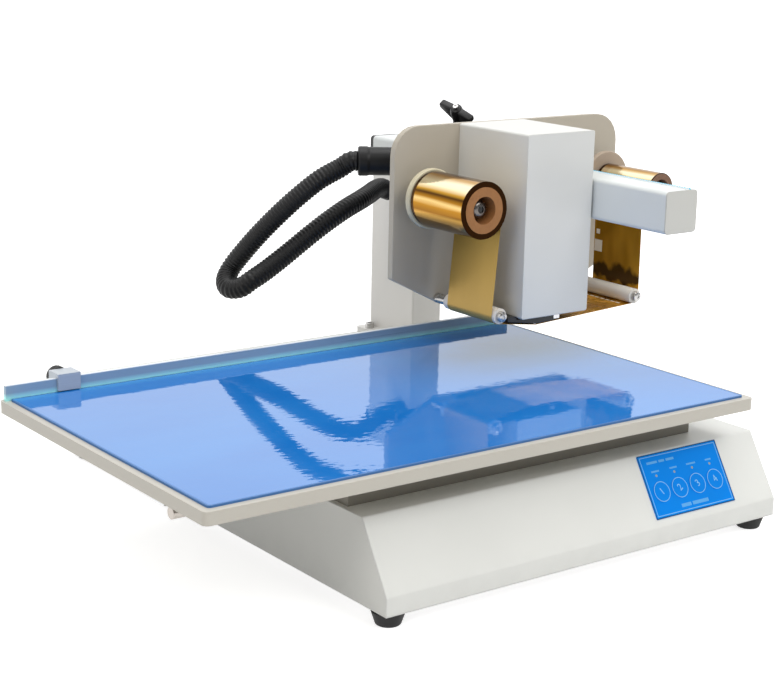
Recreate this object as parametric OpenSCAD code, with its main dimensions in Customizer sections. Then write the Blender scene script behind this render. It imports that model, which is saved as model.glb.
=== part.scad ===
// Desktop hot foil printer: a table that slides left and right over a low base, and a head with two foil
// rolls that rides front to back along a beam. X runs along the table's front edge, Y to the rear, Z up.
// The origin is under the middle of the machine, on the surface that its feet stand on.

/* [Base] */
// Width of the base along X
base_w = 450; // [430:1:470]
// Depth of the base along Y
base_d = 558; // [550:1:575]
// Middle of the base, to the right of the origin
base_x = 55; // [45:1:65]
// Height of the base shell
shell_h = 74; // [66:1:76]
// Height of the upright lip along the front
lip_h = 16.5; // [12:0.5:20]
// Depth of the sloping front panel
slope_run = 35; // [30:1:42]
// Sheet thickness of the base shell
shell_t = 1.5; // [1:0.1:2.5]
// Bend radius between the slope and the top
top_bend_r = 2; // [2:0.5:3]
// Bend radius between the lip and the slope
lip_bend_r = 4; // [3:0.5:8]
// Width of the inward flange under the shell
flange_w = 18; // [14:1:24]
// Thickness of the bottom plate
bottom_t = 1.5; // [1:0.1:2.5]
// Distance from the shell's outside to the bottom plate's edge
bottom_inset = 6; // [4:1:10]

/* [Feet] */
// Height from the surface to the underside of the bottom plate
foot_h = 12; // [10:0.5:16]
// Diameter of a foot at its top
foot_top_d = 29; // [24:1:30]
// Diameter of a foot at the surface
foot_low_d = 21; // [19:1:24]
// Distance from the shell's ends to the middle of a foot
foot_inset_x = 14.5; // [14:0.5:20]
// Distance from the shell's front and rear to the middle of a foot
foot_inset_y = 17; // [16:1:20]
// Thread diameter of a foot screw
foot_screw_d = 4; // [3:0.5:5]

/* [Key panel] */
// Width of the key panel
panel_w = 100; // [92:1:110]
// Height of the key panel, up the slope
panel_h = 59; // [52:1:60]
// Thickness of the key panel
panel_t = 0.8; // [0.5:0.1:1.2]
// Middle of the panel, to the right of the base's middle
panel_x = 125; // [110:1:135]
// Distance up the slope from the bend to the panel's lower edge
panel_up = 7; // [5:0.5:7]
// Number of keys
key_count = 4; // [4:1:4]
// Diameter of a key
key_d = 19; // [14:0.5:20]
// Spacing of the keys
key_pitch = 22.6; // [20.5:0.1:23]
// Height of the keys above the panel's lower edge
key_up = 23.5; // [20:0.5:25]
// How far a key travels
key_travel = 0.5; // [0.3:0.1:0.6]
// Diameter of a status lamp
lamp_d = 2.4; // [1.5:0.1:3]
// Height of the status lamps above the keys' middle
lamp_up = 15; // [14:0.5:18]

/* [Table] */
// Length of the table along X
table_l = 580; // [560:1:600]
// Depth of the table along Y
table_d = 355; // [345:1:365]
// Middle of the table at rest, to the left of the origin
table_left = 42; // [36:1:46]
// Distance from the base's front to the table's front edge
table_setback = 5; // [0:1:12]
// Height of the table's top above the base's top
table_rise = 43.5; // [43:0.5:46]
// Height of the table's folded rim
rim_h = 11; // [9:0.5:14]
// Thickness of the rim
rim_t = 2.5; // [1.5:0.1:4]
// Thickness of the table's top sheet
sheet_t = 3; // [2:0.1:4]
// Corner radius of the table
table_corner_r = 5; // [2:0.5:10]
// Thickness of the mat
mat_t = 1.8; // [0.5:0.1:2.5]
// Bare border round the mat
mat_border = 7; // [3:0.5:10]

/* [Fence and stop] */
// Height of the fence above the table
fence_h = 14; // [11:0.5:16]
// Thickness of the fence
fence_t = 4; // [3:0.5:5]
// Distance from the table's rear edge to the fence's rear face
fence_inset = 4; // [2:0.5:6]
// Distance from the table's ends to the fence's ends
fence_end_gap = 3; // [1:0.5:8]
// Number of fence screws
fence_screw_count = 5; // [3:1:7]
// Thread diameter of a fence screw
fence_screw_d = 2.5; // [2:0.1:3]
// Width of the stop block along the fence
stop_w = 22; // [18:1:28]
// Depth of the stop block behind the fence
stop_back_t = 12; // [9:0.5:15]
// Thickness of the stop block's front wall
stop_front_t = 3; // [2:0.5:5]
// Thickness of the stop block over the fence
stop_cap_t = 4; // [3:0.5:6]
// Distance from the fence's left end to the stop's middle
stop_from_end = 60; // [40:1:120]
// Diameter of the thumb screw's head
thumb_d = 19; // [16:1:24]
// Thickness of the thumb screw's head
thumb_t = 9; // [6:0.5:12]
// Thread diameter of the thumb screw
thumb_screw_d = 5; // [4:0.5:6]

/* [Table slide] */
// Diameter of the guide rods
rod_d = 10; // [8:0.5:11]
// Distance between the two guide rods
rod_span = 205; // [195:1:215]
// Height of the rods above the slide bed
rod_up = 10; // [9:0.5:11]
// Distance from the table's ends to the ends of the front rod
rod_inset = 14; // [10:1:18]
// Distance from the front rod's left end to the left brackets
bracket_inset_l = 34; // [28:1:36]
// Distance from the rods' right ends to the right brackets
bracket_inset_r = 14; // [10:1:20]
// Thickness of a rod bracket along the rod
bracket_t = 14; // [10:1:18]
// Thickness of the slide bed
bed_t = 8.5; // [7:0.5:9]
// Reach of the slide bed to the left of the base's middle
bed_left = 220; // [200:1:222]
// Reach of the slide bed to the right of the base's middle
bed_right = 170; // [150:1:200]
// Length of a bearing block
block_l = 30; // [24:1:40]
// Width of a bearing block
block_w = 36; // [28:1:40]
// Distance between the two bearing blocks on a rod
block_span = 120; // [100:1:140]
// Tooth size of the table's rack, its pitch divided by pi
x_module = 1.5; // [1.25:0.05:1.6]
// Teeth on the table's pinion
x_teeth = 18; // [17:1:20]
// Width of the motor under the table
x_motor_w = 42.3; // [40:0.1:44]
// Length of the motor under the table
x_motor_l = 40; // [34:1:48]

/* [Column and beam] */
// Width of the beam and column
beam_w = 40; // [36:1:42]
// Height of the beam
beam_h = 40; // [36:1:40]
// Length of the beam
beam_l = 460; // [445:1:475]
// Middle of the beam, to the right of the origin
beam_x = 229; // [228:0.5:230]
// Corner radius of the beam
beam_r = 4; // [3:0.5:5]
// Wall of the beam and column
beam_wall = 3.5; // [3:0.5:4]
// Depth of the column
column_d = 80; // [70:1:90]
// Height of the beam's underside above the base's top
column_h = 184; // [180:1:190]
// Distance from the base's rear to the column's rear face
column_inset = 6; // [4:1:12]
// Thickness of the column's foot plate
column_foot_t = 6; // [4:0.5:8]
// Reach of the column's foot plate past the column
column_foot_reach = 15; // [13:1:18]
// Thread diameter of the column's bolts
column_bolt_d = 6; // [5:0.5:8]
// Thickness of the beam's rear cap
cap_t = 5; // [3:0.5:5.5]
// Tooth size of the carriage's drive strip
y_module = 1; // [0.9:0.05:1.1]
// Teeth on the carriage's pinion
y_teeth = 20; // [18:1:21]
// Width of the drive strip
strip_w = 6; // [5:0.5:7]

/* [Head] */
// Width of the head's back plate
plate_w = 287; // [285:1:291]
// Height of the back plate
plate_h = 177; // [172:1:182]
// Thickness of the back plate
plate_t = 7; // [5:0.5:8]
// Middle of the back plate, to the right of the origin
plate_x = 188.5; // [187.5:0.5:189.5]
// Front face of the back plate, behind the origin
plate_y = 11; // [9:0.5:14]
// Height of the back plate's top above the beam's top
plate_over = 46.5; // [45:0.5:50]
// Radius of the back plate's upper corners
plate_r = 28; // [20:1:32]
// Width of the cuts across the lower corners
corner_cut_w = 60; // [50:1:66]
// Height of the cuts across the lower corners
corner_cut_h = 30; // [24:1:36]
// Width of the head's cover
cover_w = 83; // [80:1:83]
// Depth of the head's cover
cover_d = 102.5; // [100:0.5:110]
// Height of the head's cover
cover_h = 175.5; // [168:0.5:176]
// Sheet thickness of the head's cover
cover_t = 1.5; // [1:0.1:2]
// Distance between the head's cover and the beam
cover_gap = 3; // [2:0.5:4]
// How far the head can be lowered on the carriage
lower_travel = 28; // [20:1:30]
// Travel of the print head as it presses
press_travel = 12; // [8:1:12]

/* [Foil] */
// Width of the foil
foil_w = 76; // [70:1:78]
// Front edge of the foil in front of the back plate
foil_front = 99.5; // [97:0.5:101]
// Width of the foil between the rolls
web_w = 67; // [60:1:68]
// Distance from the rolls' front ends to the foil's front edge
web_in = 6.5; // [5:0.5:7]
// Diameter of the full foil roll
roll_d = 54; // [50:1:56]
// Outer diameter of the full roll's core
core_d = 43.5; // [36:0.5:50]
// Bore of the full roll's core
core_bore = 26; // [24:0.5:30]
// Diameter of the foil taken up so far
taken_d = 33.4; // [33:0.1:40]
// Outer diameter of the take-up core
taken_core_d = 32; // [28:1:32]
// Bore of the take-up core
taken_bore = 20.4; // [20:0.2:24]
// Distance from the middle of the plate to the supply spindle
supply_reach = 114; // [112:1:115]
// Height of the supply spindle above the plate's lower edge
supply_up = 110; // [106:1:114]
// Distance from the middle of the plate to the take-up spindle
takeup_reach = 112; // [110:1:114]
// Height of the take-up spindle above the plate's lower edge
takeup_up = 112.5; // [106:0.5:114]
// Diameter of a spindle
spindle_d = 17.5; // [14:0.5:18]
// Diameter of a spindle's tail in its bearing
tail_d = 8; // [6:0.5:10]
// Diameter of a spindle's flange
flange_d = 58; // [56:1:58]
// Thickness of a spindle's flange
flange_t = 6; // [4:0.5:8]
// Diameter of a guide roller
roller_d = 15; // [12:0.5:16]
// Diameter of a guide roller's shaft
roller_shaft_d = 6; // [5:0.5:8]
// Distance from the middle of the plate to each guide roller
roller_reach = 87.5; // [86:0.5:89]
// Height of the guide rollers above the plate's lower edge
roller_up = 6.5; // [6:0.5:9]
// Drop of the print line below the guide rollers' axes
tip_drop = 14; // [12:0.5:15]
// Distance of the print line to the left of the plate's middle
tip_left = 39.5; // [36:0.5:42]

/* [Carriage] */
// Length of the carriage along the beam, without its cover
carriage_l = 104; // [96:1:106]
// Thickness of the carriage's front plate
carriage_plate_t = 6; // [5:0.5:8]
// Wall of the carriage block round the beam
carriage_wall = 12; // [10:0.5:12]
// Thickness of the rails on the carriage's front
rail_t = 4.3; // [3.5:0.1:4.5]
// Width of the rails on the carriage's front
rail_w = 9; // [7:0.5:10]
// Distance between the two rails
rail_span = 86; // [84:1:88]
// Width of the carriage's motor
y_motor_w = 35; // [33:0.5:35]
// Length of the carriage's motor
y_motor_l = 35; // [28:1:36]
// Wall of the carriage's cover
rear_cover_t = 2; // [1.5:0.1:2.5]
// Reach of the carriage's cover to the left of the beam's middle
rear_cover_left = 117; // [115:1:120]
// Span of the wing knob's wings
wing_span = 41; // [36:1:44]
// Diameter of the wing knob's stud
stud_d = 6; // [5:0.5:8]

/* [Hose] */
// Outer diameter of the ribbed hose
hose_d = 21.2; // [18:0.2:22]
// Bore of the hose
hose_bore = 16.4; // [12:0.2:17]
// Depth of the valleys between the ribs
rib_depth = 1.4; // [0.8:0.1:1.8]
// Number of ribs along the hose
rib_count = 120; // [90:1:130]
// Length of the gland on the column
gland_l = 14; // [10:1:18]
// Diameter of the gland
gland_d = 26; // [24:0.5:28]
// Length of the fitting on the carriage
fitting_l = 46; // [40:0.5:48]
// Diameter of the fitting on the carriage
fitting_d = 29; // [27:0.5:31]

/* [Inside and rear] */
// Width of the power supply
supply_w = 159; // [150:1:165]
// Depth of the power supply
supply_d = 98; // [90:1:100]
// Height of the power supply
supply_h = 38; // [30:1:42]
// Width of the main circuit board
board_w = 160; // [140:1:170]
// Depth of the main circuit board
board_d = 100; // [90:1:110]
// Height of the rear sockets' middle above the shell's lower edge
socket_up = 32; // [26:1:40]
// Thickness of the rear sockets' flanges
socket_flange_t = 2; // [1.5:0.1:2.5]

/* [Fits] */
// Radial clearance of shafts that turn or slide in bores
run_gap = 0.05; // [0.03:0.01:0.08]
// Gap between sliding flat faces
slide_gap = 0.1; // [0.05:0.05:0.2]
// Gap between the foil and what it passes
foil_gap = 0.3; // [0.2:0.05:0.4]
// Thickness given to the foil
foil_t = 0.25; // [0.2:0.05:0.4]

/* [Hidden] */
$fn = 48;
EPS = 0.01;

// Base levels and edges
front = -(base_d + socket_flange_t) / 2;
rear = front + base_d;
left = base_x - base_w / 2;
right = base_x + base_w / 2;
shell_z = foot_h + bottom_t;
deck = shell_z + shell_h;
lip_z = shell_z + lip_h;
slope_rise = shell_h - lip_h;
slope_len = sqrt(slope_run * slope_run + slope_rise * slope_rise);
slope_a = atan2(slope_rise, slope_run);
wall_in = lip_z + shell_t * (sin(slope_a) - 1) / cos(slope_a);
top_in = front + (slope_rise - shell_t + shell_t / cos(slope_a)) / tan(slope_a);
corner_pad = 2 * flange_w;

// Key panel
panel_cx = base_x + panel_x;
key_s = panel_up + key_up;
panel_top = min(panel_up + panel_h, slope_len - top_bend_r * tan(slope_a / 2) - 0.1);
key_proud = 0.6;
key_hole = key_d + 1.6;
stem_d = 5;
switch_h = 4;
key_board_z = -shell_t - 12;

// Table and its slide
table_top = deck + table_rise;
table_under = table_top - sheet_t;
table_x0 = -table_left - table_l / 2;
table_x1 = table_x0 + table_l;
table_y0 = front + table_setback;
table_y1 = table_y0 + table_d;
table_cy = (table_y0 + table_y1) / 2;
fence_y1 = table_y1 - fence_inset;
fence_y0 = fence_y1 - fence_t;
fence_x0 = table_x0 + fence_end_gap;
fence_x1 = table_x1 - fence_end_gap;
fence_top = table_top + fence_h;
mat_top = table_top + mat_t;
bed_top = deck + bed_t;
rod_z = bed_top + rod_up;
rod_ys = [table_cy - rod_span / 2, table_cy + rod_span / 2];
rod_x0 = table_x0 + rod_inset;
rod_x1 = table_x1 - rod_inset;
bracket_x0 = rod_x0 + bracket_inset_l;
x_r = x_module * x_teeth / 2;
x_pitch_y = table_cy + x_r;
rack_z = table_under - 10;
motor_shaft_d = 5;

// Stop
stop_x = fence_x0 + stop_from_end;
stop_low = mat_top + 1;
stop_y0 = fence_y0 - slide_gap - stop_front_t;
stop_y1 = fence_y1 + slide_gap + stop_back_t;
stop_top = fence_top + slide_gap + stop_cap_t;
thumb_z = table_top + 0.7 * fence_h;
thumb_y = stop_y1 + 0.3;

// Column and beam
beam_z0 = deck + column_h;
beam_z1 = beam_z0 + beam_h;
beam_x0 = beam_x - beam_w / 2;
beam_x1 = beam_x + beam_w / 2;
column_y1 = rear - column_inset;
column_y0 = column_y1 - column_d;
beam_y1 = column_y1;
beam_y0 = beam_y1 - beam_l;
strip_x = beam_x + 12;
strip_base = 0.8;
y_r = y_module * y_teeth / 2;
y_pitch_z = beam_z1 - 0.25 * y_module;
strip_z0 = y_pitch_z - 1.25 * y_module - strip_base;
y_pinion_z = y_pitch_z + y_r;

// Head
plate_y1 = plate_y + plate_t;
plate_x0 = plate_x - plate_w / 2;
plate_x1 = plate_x + plate_w / 2;
plate_z1 = beam_z1 + plate_over;
plate_z0 = plate_z1 - plate_h;
cover_x1 = beam_x0 - cover_gap;
cover_x0 = cover_x1 - cover_w;
cover_y0 = plate_y - cover_d;
cover_z0 = plate_z1 - cover_h;
foil_y0 = plate_y - foil_front - 0.5;
foil_y1 = foil_y0 + foil_w;
foil_cy = (foil_y0 + foil_y1) / 2;
flange_y0 = foil_y1 + 1;
flange_y1 = flange_y0 + flange_t;
supply_at = [plate_x - supply_reach, plate_z0 + supply_up];
takeup_at = [plate_x + takeup_reach, plate_z0 + takeup_up];
web_y0 = foil_y0 + web_in;
web_y1 = web_y0 + web_w;
roller_z = plate_z0 + roller_up;
roller_xs = [plate_x - roller_reach, plate_x + roller_reach];
roller_y0 = foil_y0 + 3.5;
roller_y1 = foil_y1 + 4.5;
tip_x = plate_x - tip_left;
tip_z = roller_z - tip_drop;
bearing_d = tail_d + 14;
spindle_tip_y = foil_y0 + 8;
holder_top = cover_z0 - 0.8 - tip_z;
stem_x0 = -20;
stem_x1 = 16;
stem_top = 215 - 187.5 + roller_z;
frame_z = stem_top + 25;
pin_d = 8;
plunger_d = 6;

// Carriage
slider_wall = 5;
car_y0 = plate_y1 + slider_wall + slide_gap + rail_t;
car_y1 = car_y0 + carriage_plate_t;
car_y2 = car_y0 + carriage_l;
car_x0 = beam_x0 - carriage_wall;
car_x1 = beam_x1 + carriage_wall;
car_z0 = beam_z0 - carriage_wall;
car_z1 = y_pinion_z + y_r + y_module + 2.5;
face_x0 = beam_x - rail_span / 2 - 8;
face_x1 = beam_x + rail_span / 2 + 8;
rear_z0 = beam_z0 - 36.5;
rear_z1 = y_pinion_z + y_motor_w / 2 + rear_cover_t + 0.75;
rear_x0 = beam_x - rear_cover_left;
rear_x1 = beam_x + beam_w / 2 + carriage_wall + 9;
rear_y1 = car_y2 + 8.6 + rear_cover_t;
cut_dy = 60;
cut_dx = 38;
cut_l = sqrt(cut_dx * cut_dx + cut_dy * cut_dy);
rear_drop = 12;
rear_run = 42;
fit_a = atan2(cut_dx, -cut_dy);
fit_s = 40.8 / cut_l;
fit_at = [rear_x0 + fit_s * cut_dx, rear_y1 - cut_dy + fit_s * cut_dy, beam_z1 - 4.5];
y_motor_y = (car_y1 + car_y2) / 2;
slider_h = 25;
slider_w = 20;
motor_slider_gap = 1.5;
takeup_motor_r = takeup_at[0] - (beam_x + rail_span / 2 + slider_w / 2 + motor_slider_gap);
slider_zs = [beam_z0 - 9.5, beam_z1 + 6.5];
knob_at = [beam_x - 42.3, y_motor_y + 10, rear_z1 + 7.5];
knob_lean = -39;
knob_tilt = 26.6;

// Hose
gland_at = [beam_x0, column_y0 + 18, beam_z0 - 11.5];

// ---- helpers ----
function arc(c, r, a0, a1, n) = [for (i = [0:n]) c + r * [cos(a0 + (a1 - a0) * i / n), sin(a0 + (a1 - a0) * i / n)]];

function unit(v) = v / norm(v);

// Points of a corner at b rounded to r, coming from a and going to c
function fillet(a, b, c, r, n = 6) =
    r < EPS ? [b] :
    let (u = unit(a - b), v = unit(c - b), half = acos(min(1, max(-1, u * v))) / 2,
        t = r / tan(half), m = b + unit(u + v) * r / sin(half),
        p = b + u * t - m, q = b + v * t - m,
        a0 = atan2(p[1], p[0]), d = atan2(q[1], q[0]) - a0,
        turn = d > 180 ? d - 360 : d < -180 ? d + 360 : d)
    [for (i = [0:n]) m + r * [cos(a0 + turn * i / n), sin(a0 + turn * i / n)]];

function rounded(pts, rads) = [for (i = [0:len(pts) - 1])
    each fillet(pts[(i + len(pts) - 1) % len(pts)], pts[i], pts[(i + 1) % len(pts)], rads[i])];

function rect_r(x0, y0, x1, y1, r) = rounded([[x0, y0], [x1, y0], [x1, y1], [x0, y1]], [r, r, r, r]);

// Involute gear outline of module m and z teeth, with a tooth on the +X side
function gear_pts(m, z, slack) =
    let (r = m * z / 2, rb = r * cos(20), ro = r + m, rr = r - 1.25 * m,
        tp = tan(20), hb = 90 / z + tp * 180 / PI - 20 - slack / r * 180 / PI,
        te = sqrt(ro * ro / rb / rb - 1), n = 5)
    [for (i = [0:z - 1]) let (a = 360 * i / z) each concat(
        [rr * [cos(a - hb - 0.5), sin(a - hb - 0.5)]],
        [for (k = [0:n]) let (t = te * k / n, q = a - hb + t * 180 / PI - atan(t), s = rb * sqrt(1 + t * t)) s * [cos(q), sin(q)]],
        [for (k = [n:-1:0]) let (t = te * k / n, q = a + hb - t * 180 / PI + atan(t), s = rb * sqrt(1 + t * t)) s * [cos(q), sin(q)]],
        [rr * [cos(a + hb + 0.5), sin(a + hb + 0.5)]])];

// Rack outline with its pitch line on y = 0 and its teeth pointing down, a gap centred at x = 0
function rack_pts(m, n0, n1, body, slack) = concat(
    [for (i = [n0:n1]) let (c = (i + 0.5) * PI * m, w = PI * m / 4 - slack, k = tan(20) * m) each [
        [c - w - 1.25 * k, 1.25 * m], [c - w + k, -m], [c + w - k, -m], [c + w + 1.25 * k, 1.25 * m]]],
    [[(n1 + 1) * PI * m, 1.25 * m], [(n1 + 1) * PI * m, 1.25 * m + body], [n0 * PI * m, 1.25 * m + body], [n0 * PI * m, 1.25 * m]]);

// Line that touches two circles; a circle on the left of the line has a positive radius
function touch(c1, s1, c2, s2) =
    let (d = c2 - c1, fi = asin((s2 - s1) / norm(d)), a = atan2(d[1], d[0]) - fi, n = [-sin(a), cos(a)])
    [c1 - s1 * n, c2 - s2 * n, a];

module bar(p, q) translate(p) cube(q - p);

module slab(pts, z0, z1) translate([0, 0, z0]) linear_extrude(z1 - z0) polygon(pts);

// Outline given as X and Z, drawn from y0 to y1
module along_y(pts, y0, y1) translate([0, y1, 0]) rotate([90, 0, 0]) linear_extrude(y1 - y0) polygon(pts);

// Outline given as Y and Z, drawn from x0 to x1
module along_x(pts, x0, x1) translate([x0, 0, 0]) rotate([90, 0, 90]) linear_extrude(x1 - x0) polygon(pts);

module rod_y(x, z, d, y0, y1) translate([x, y0, z]) rotate([-90, 0, 0]) cylinder(h = y1 - y0, d = d);
module rod_x(y, z, d, x0, x1) translate([x0, y, z]) rotate([0, 90, 0]) cylinder(h = x1 - x0, d = d);
module rod_z(x, y, d, z0, z1) translate([x, y, z0]) cylinder(h = z1 - z0, d = d);

module on_slope() translate([0, front, lip_z]) rotate([slope_a, 0, 0]) children();

function key_x(i) = panel_cx + (i - (key_count - 1) / 2) * key_pitch;
foot_xy = [for (x = [left + foot_inset_x, right - foot_inset_x], y = [front + foot_inset_y, rear - foot_inset_y]) [x, y]];
bolt_xy = [for (x = [beam_x0 - column_foot_reach / 2, beam_x1 + column_foot_reach / 2], y = [column_y0 + 10, column_y1 - 10]) [x, y]];
inlet_x = base_x - 115;
usb_x = base_x - 160;
rocker_x = base_x - 70;
socket_z = shell_z + socket_up;

// ---- base ----
function shell_profile() = rounded([[front, shell_z], [rear, shell_z], [rear, deck], [front + slope_run, deck], [front, lip_z]],
    [0, 0, 3, top_bend_r, lip_bend_r]);
function shell_inside() = rounded([[front + shell_t, shell_z + shell_t], [rear - shell_t, shell_z + shell_t], [rear - shell_t, deck - shell_t],
    [top_in, deck - shell_t], [front + shell_t, wall_in]], [0, 0, 1.5, max(0, top_bend_r - shell_t), max(0, lip_bend_r - shell_t)]);

module base_shell() color("gainsboro") difference() {
    along_x(shell_profile(), left, right);
    along_x(shell_inside(), left + shell_t, right - shell_t);
    difference() {
        bar([left + flange_w, front + flange_w, shell_z - 1], [right - flange_w, rear - flange_w, shell_z + shell_t + 1]);
        for (x = [left + flange_w, right - flange_w - (corner_pad - flange_w)], y = [front + flange_w, rear - flange_w - (corner_pad - flange_w)])
            bar([x - 1, y - 1, shell_z - 2], [x + corner_pad - flange_w + 1, y + corner_pad - flange_w + 1, shell_z + shell_t + 2]);
    }
    for (p = foot_xy) rod_z(p[0], p[1], foot_screw_d, shell_z - 1, shell_z + shell_t + 1);
    on_slope() for (i = [0:key_count - 1]) {
        translate([key_x(i), key_s, -shell_t - 1]) cylinder(h = shell_t + 2, d = key_hole);
        translate([key_x(i), key_s + lamp_up, -shell_t - 1]) cylinder(h = shell_t + 2, d = lamp_d);
    }
    rod_z(base_x, table_cy, 22, deck - shell_t - 1, deck + 1);
    for (p = bolt_xy) rod_z(p[0], p[1], column_bolt_d, deck - shell_t - 1, deck + 1);
    bar([inlet_x - 13.5, rear - shell_t - 1, socket_z - 10], [inlet_x + 13.5, rear + 1, socket_z + 10]);
    bar([usb_x - 6, rear - shell_t - 1, socket_z - 5.5], [usb_x + 6, rear + 1, socket_z + 5.5]);
    bar([rocker_x - 9, rear - shell_t - 1, socket_z - 12], [rocker_x + 9, rear + 1, socket_z + 12]);
}

module bottom_plate() color("silver") difference() {
    bar([left + bottom_inset, front + bottom_inset, foot_h], [right - bottom_inset, rear - bottom_inset, shell_z]);
    for (p = foot_xy) rod_z(p[0], p[1], foot_screw_d, foot_h - 1, shell_z + 1);
}

module feet() color("#222222") for (p = foot_xy) translate([p[0], p[1], 0]) rotate_extrude()
    polygon(concat([[foot_screw_d / 2 + 3, 0]], fillet([0, 0], [foot_low_d / 2, 0], [foot_top_d / 2, foot_h], 2.5),
        [[foot_top_d / 2, foot_h], [foot_screw_d / 2, foot_h], [foot_screw_d / 2, foot_h / 2], [foot_screw_d / 2 + 3, foot_h / 2]]));

module foot_screws() color("silver") for (p = foot_xy) {
    rod_z(p[0], p[1], foot_screw_d, foot_h / 2 - 1, shell_z + shell_t + 4);
    difference() {
        rod_z(p[0], p[1], foot_screw_d + 4, foot_h / 2 - 2.8, foot_h / 2);
        bar([p[0] - 3.2, p[1] - 0.5, foot_h / 2 - 3.8], [p[0] + 3.2, p[1] + 0.5, foot_h / 2 - 1.9]);
    }
}

module keypad() color("dodgerblue") on_slope() difference() {
    slab(rect_r(panel_cx - panel_w / 2, panel_up, panel_cx + panel_w / 2, panel_top, 1), 0, panel_t);
    for (i = [0:key_count - 1]) {
        translate([key_x(i), key_s, -1]) cylinder(h = panel_t + 2, d = key_d + 2 * run_gap);
        translate([key_x(i), key_s + lamp_up, -1]) cylinder(h = panel_t + 2, d = lamp_d);
    }
}

module status_lamps() color("white") on_slope() for (i = [0:key_count - 1])
    translate([key_x(i), key_s + lamp_up, key_board_z]) cylinder(h = panel_t - key_board_z, d = lamp_d);

module key(i) color("white") on_slope() translate([key_x(i), key_s, 0]) {
    translate([0, 0, -shell_t]) cylinder(h = shell_t + panel_t + key_proud, d = key_d);
    translate([0, 0, key_board_z + switch_h + key_travel + 0.1]) cylinder(h = -key_board_z - switch_h - key_travel - 0.1, d = stem_d);
}
module key_1() key(0);
module key_2() key(1);
module key_3() key(2);
module key_4() key(3);

module key_board() on_slope() {
    bar([panel_cx - panel_w / 2, panel_up + 4, key_board_z - 1.6], [panel_cx + panel_w / 2, key_s + lamp_up + 6, key_board_z]);
    for (i = [0:key_count - 1]) translate([key_x(i), key_s, key_board_z]) {
        bar([-3, -3, 0], [3, 3, switch_h]);
    }
    for (x = [panel_cx - panel_w / 2 + 4, panel_cx + panel_w / 2 - 4], y = [panel_up + 8, key_s + lamp_up + 2])
        translate([x, y, key_board_z]) cylinder(h = -shell_t - key_board_z, d = 6);
}

module main_board() {
    x0 = left + 30; y0 = front + 50; z = shell_z + 8;
    bar([x0, y0, z], [x0 + board_w, y0 + board_d, z + 1.6]);
    for (x = [x0 + 6, x0 + board_w - 6], y = [y0 + 6, y0 + board_d - 6]) rod_z(x, y, 7, shell_z, z);
    bar([x0 + 30, y0 + 30, z + 1.6], [x0 + 58, y0 + 58, z + 4]);
    bar([x0 + 80, y0 + 30, z + 1.6], [x0 + 104, y0 + 46, z + 8]);
    for (i = [0:3]) bar([x0 + 14 + 24 * i, y0 + board_d - 14, z + 1.6], [x0 + 30 + 24 * i, y0 + board_d - 6, z + 12]);
    for (i = [0:2]) rod_z(x0 + board_w - 24, y0 + 24 + 18 * i, 12, z + 1.6, z + 18);
}

module circuit_boards() color("green") {
    key_board();
    main_board();
}

module power_supply() color("lightgrey") difference() {
    bar([left + 30, 20, shell_z], [left + 30 + supply_w, 20 + supply_d, shell_z + supply_h]);
    for (i = [0:8]) bar([left + 42 + 14 * i, 30, shell_z + supply_h - 1], [left + 48 + 14 * i, supply_d + 10, shell_z + supply_h + 1]);
}

module rear_sockets() color("#222222") difference() {
    union() {
        bar([inlet_x - 25, rear, socket_z - 13.5], [inlet_x + 25, rear + socket_flange_t, socket_z + 13.5]);
        bar([inlet_x - 13.5, rear - 24, socket_z - 10], [inlet_x + 13.5, rear + EPS, socket_z + 10]);
        bar([usb_x - 9, rear, socket_z - 8.5], [usb_x + 9, rear + socket_flange_t, socket_z + 8.5]);
        bar([usb_x - 6, rear - 18, socket_z - 5.5], [usb_x + 6, rear + EPS, socket_z + 5.5]);
        bar([rocker_x - 11, rear, socket_z - 15], [rocker_x + 11, rear + socket_flange_t, socket_z + 15]);
        bar([rocker_x - 9, rear - 20, socket_z - 12], [rocker_x + 9, rear + EPS, socket_z + 12]);
    }
    bar([inlet_x - 12, rear - 16, socket_z - 8], [inlet_x + 12, rear + 9, socket_z + 8]);
    bar([usb_x - 4.5, rear - 10, socket_z - 4], [usb_x + 4.5, rear + 9, socket_z + 4]);
    bar([rocker_x - 7.2, rear - 14, socket_z - 10.2], [rocker_x + 7.2, rear + 9, socket_z + 10.2]);
    rod_x(rear - 5, socket_z, 3 + 2 * run_gap, rocker_x - 8.5, rocker_x + 8.5);
}

module rocker() color("#111111") {
    translate([rocker_x, rear - 5, socket_z]) rotate([6, 0, 0])
        along_x([[-3, -5], [6, -9], [4.5, 0], [6, 9], [-3, 5], [-5, 0]], -7, 7);
    rod_x(rear - 5, socket_z, 3, rocker_x - 8.3, rocker_x + 8.3);
}

// ---- table and its slide ----
module slide_bed() color("#333333") difference() {
    bar([base_x - bed_left, rod_ys[0] - block_w / 2, deck], [base_x + bed_right, rod_ys[1] + block_w / 2, bed_top]);
    rod_z(base_x, table_cy, 24, deck - 1, bed_top + 1);
}

module bearing_blocks() color("silver") for (y = rod_ys, s = [-1, 1]) let (x = base_x + s * block_span / 2) difference() {
    bar([x - block_l / 2, y - block_w / 2, bed_top], [x + block_l / 2, y + block_w / 2, rod_z + rod_up]);
    rod_x(y, rod_z, rod_d + 2 * run_gap, x - block_l / 2 - 1, x + block_l / 2 + 1);
}

module x_motor() color("#333333") difference() {
    union() {
        slab(rect_r(base_x - x_motor_w / 2, table_cy - x_motor_w / 2, base_x + x_motor_w / 2, table_cy + x_motor_w / 2, 4),
            deck - shell_t - x_motor_l, deck - shell_t);
        rod_z(base_x, table_cy, 22, deck - shell_t - 1, deck + 0.5);
    }
    rod_z(base_x, table_cy, motor_shaft_d + 2 * run_gap, deck - shell_t - x_motor_l + 6, deck + 2);
}

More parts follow.
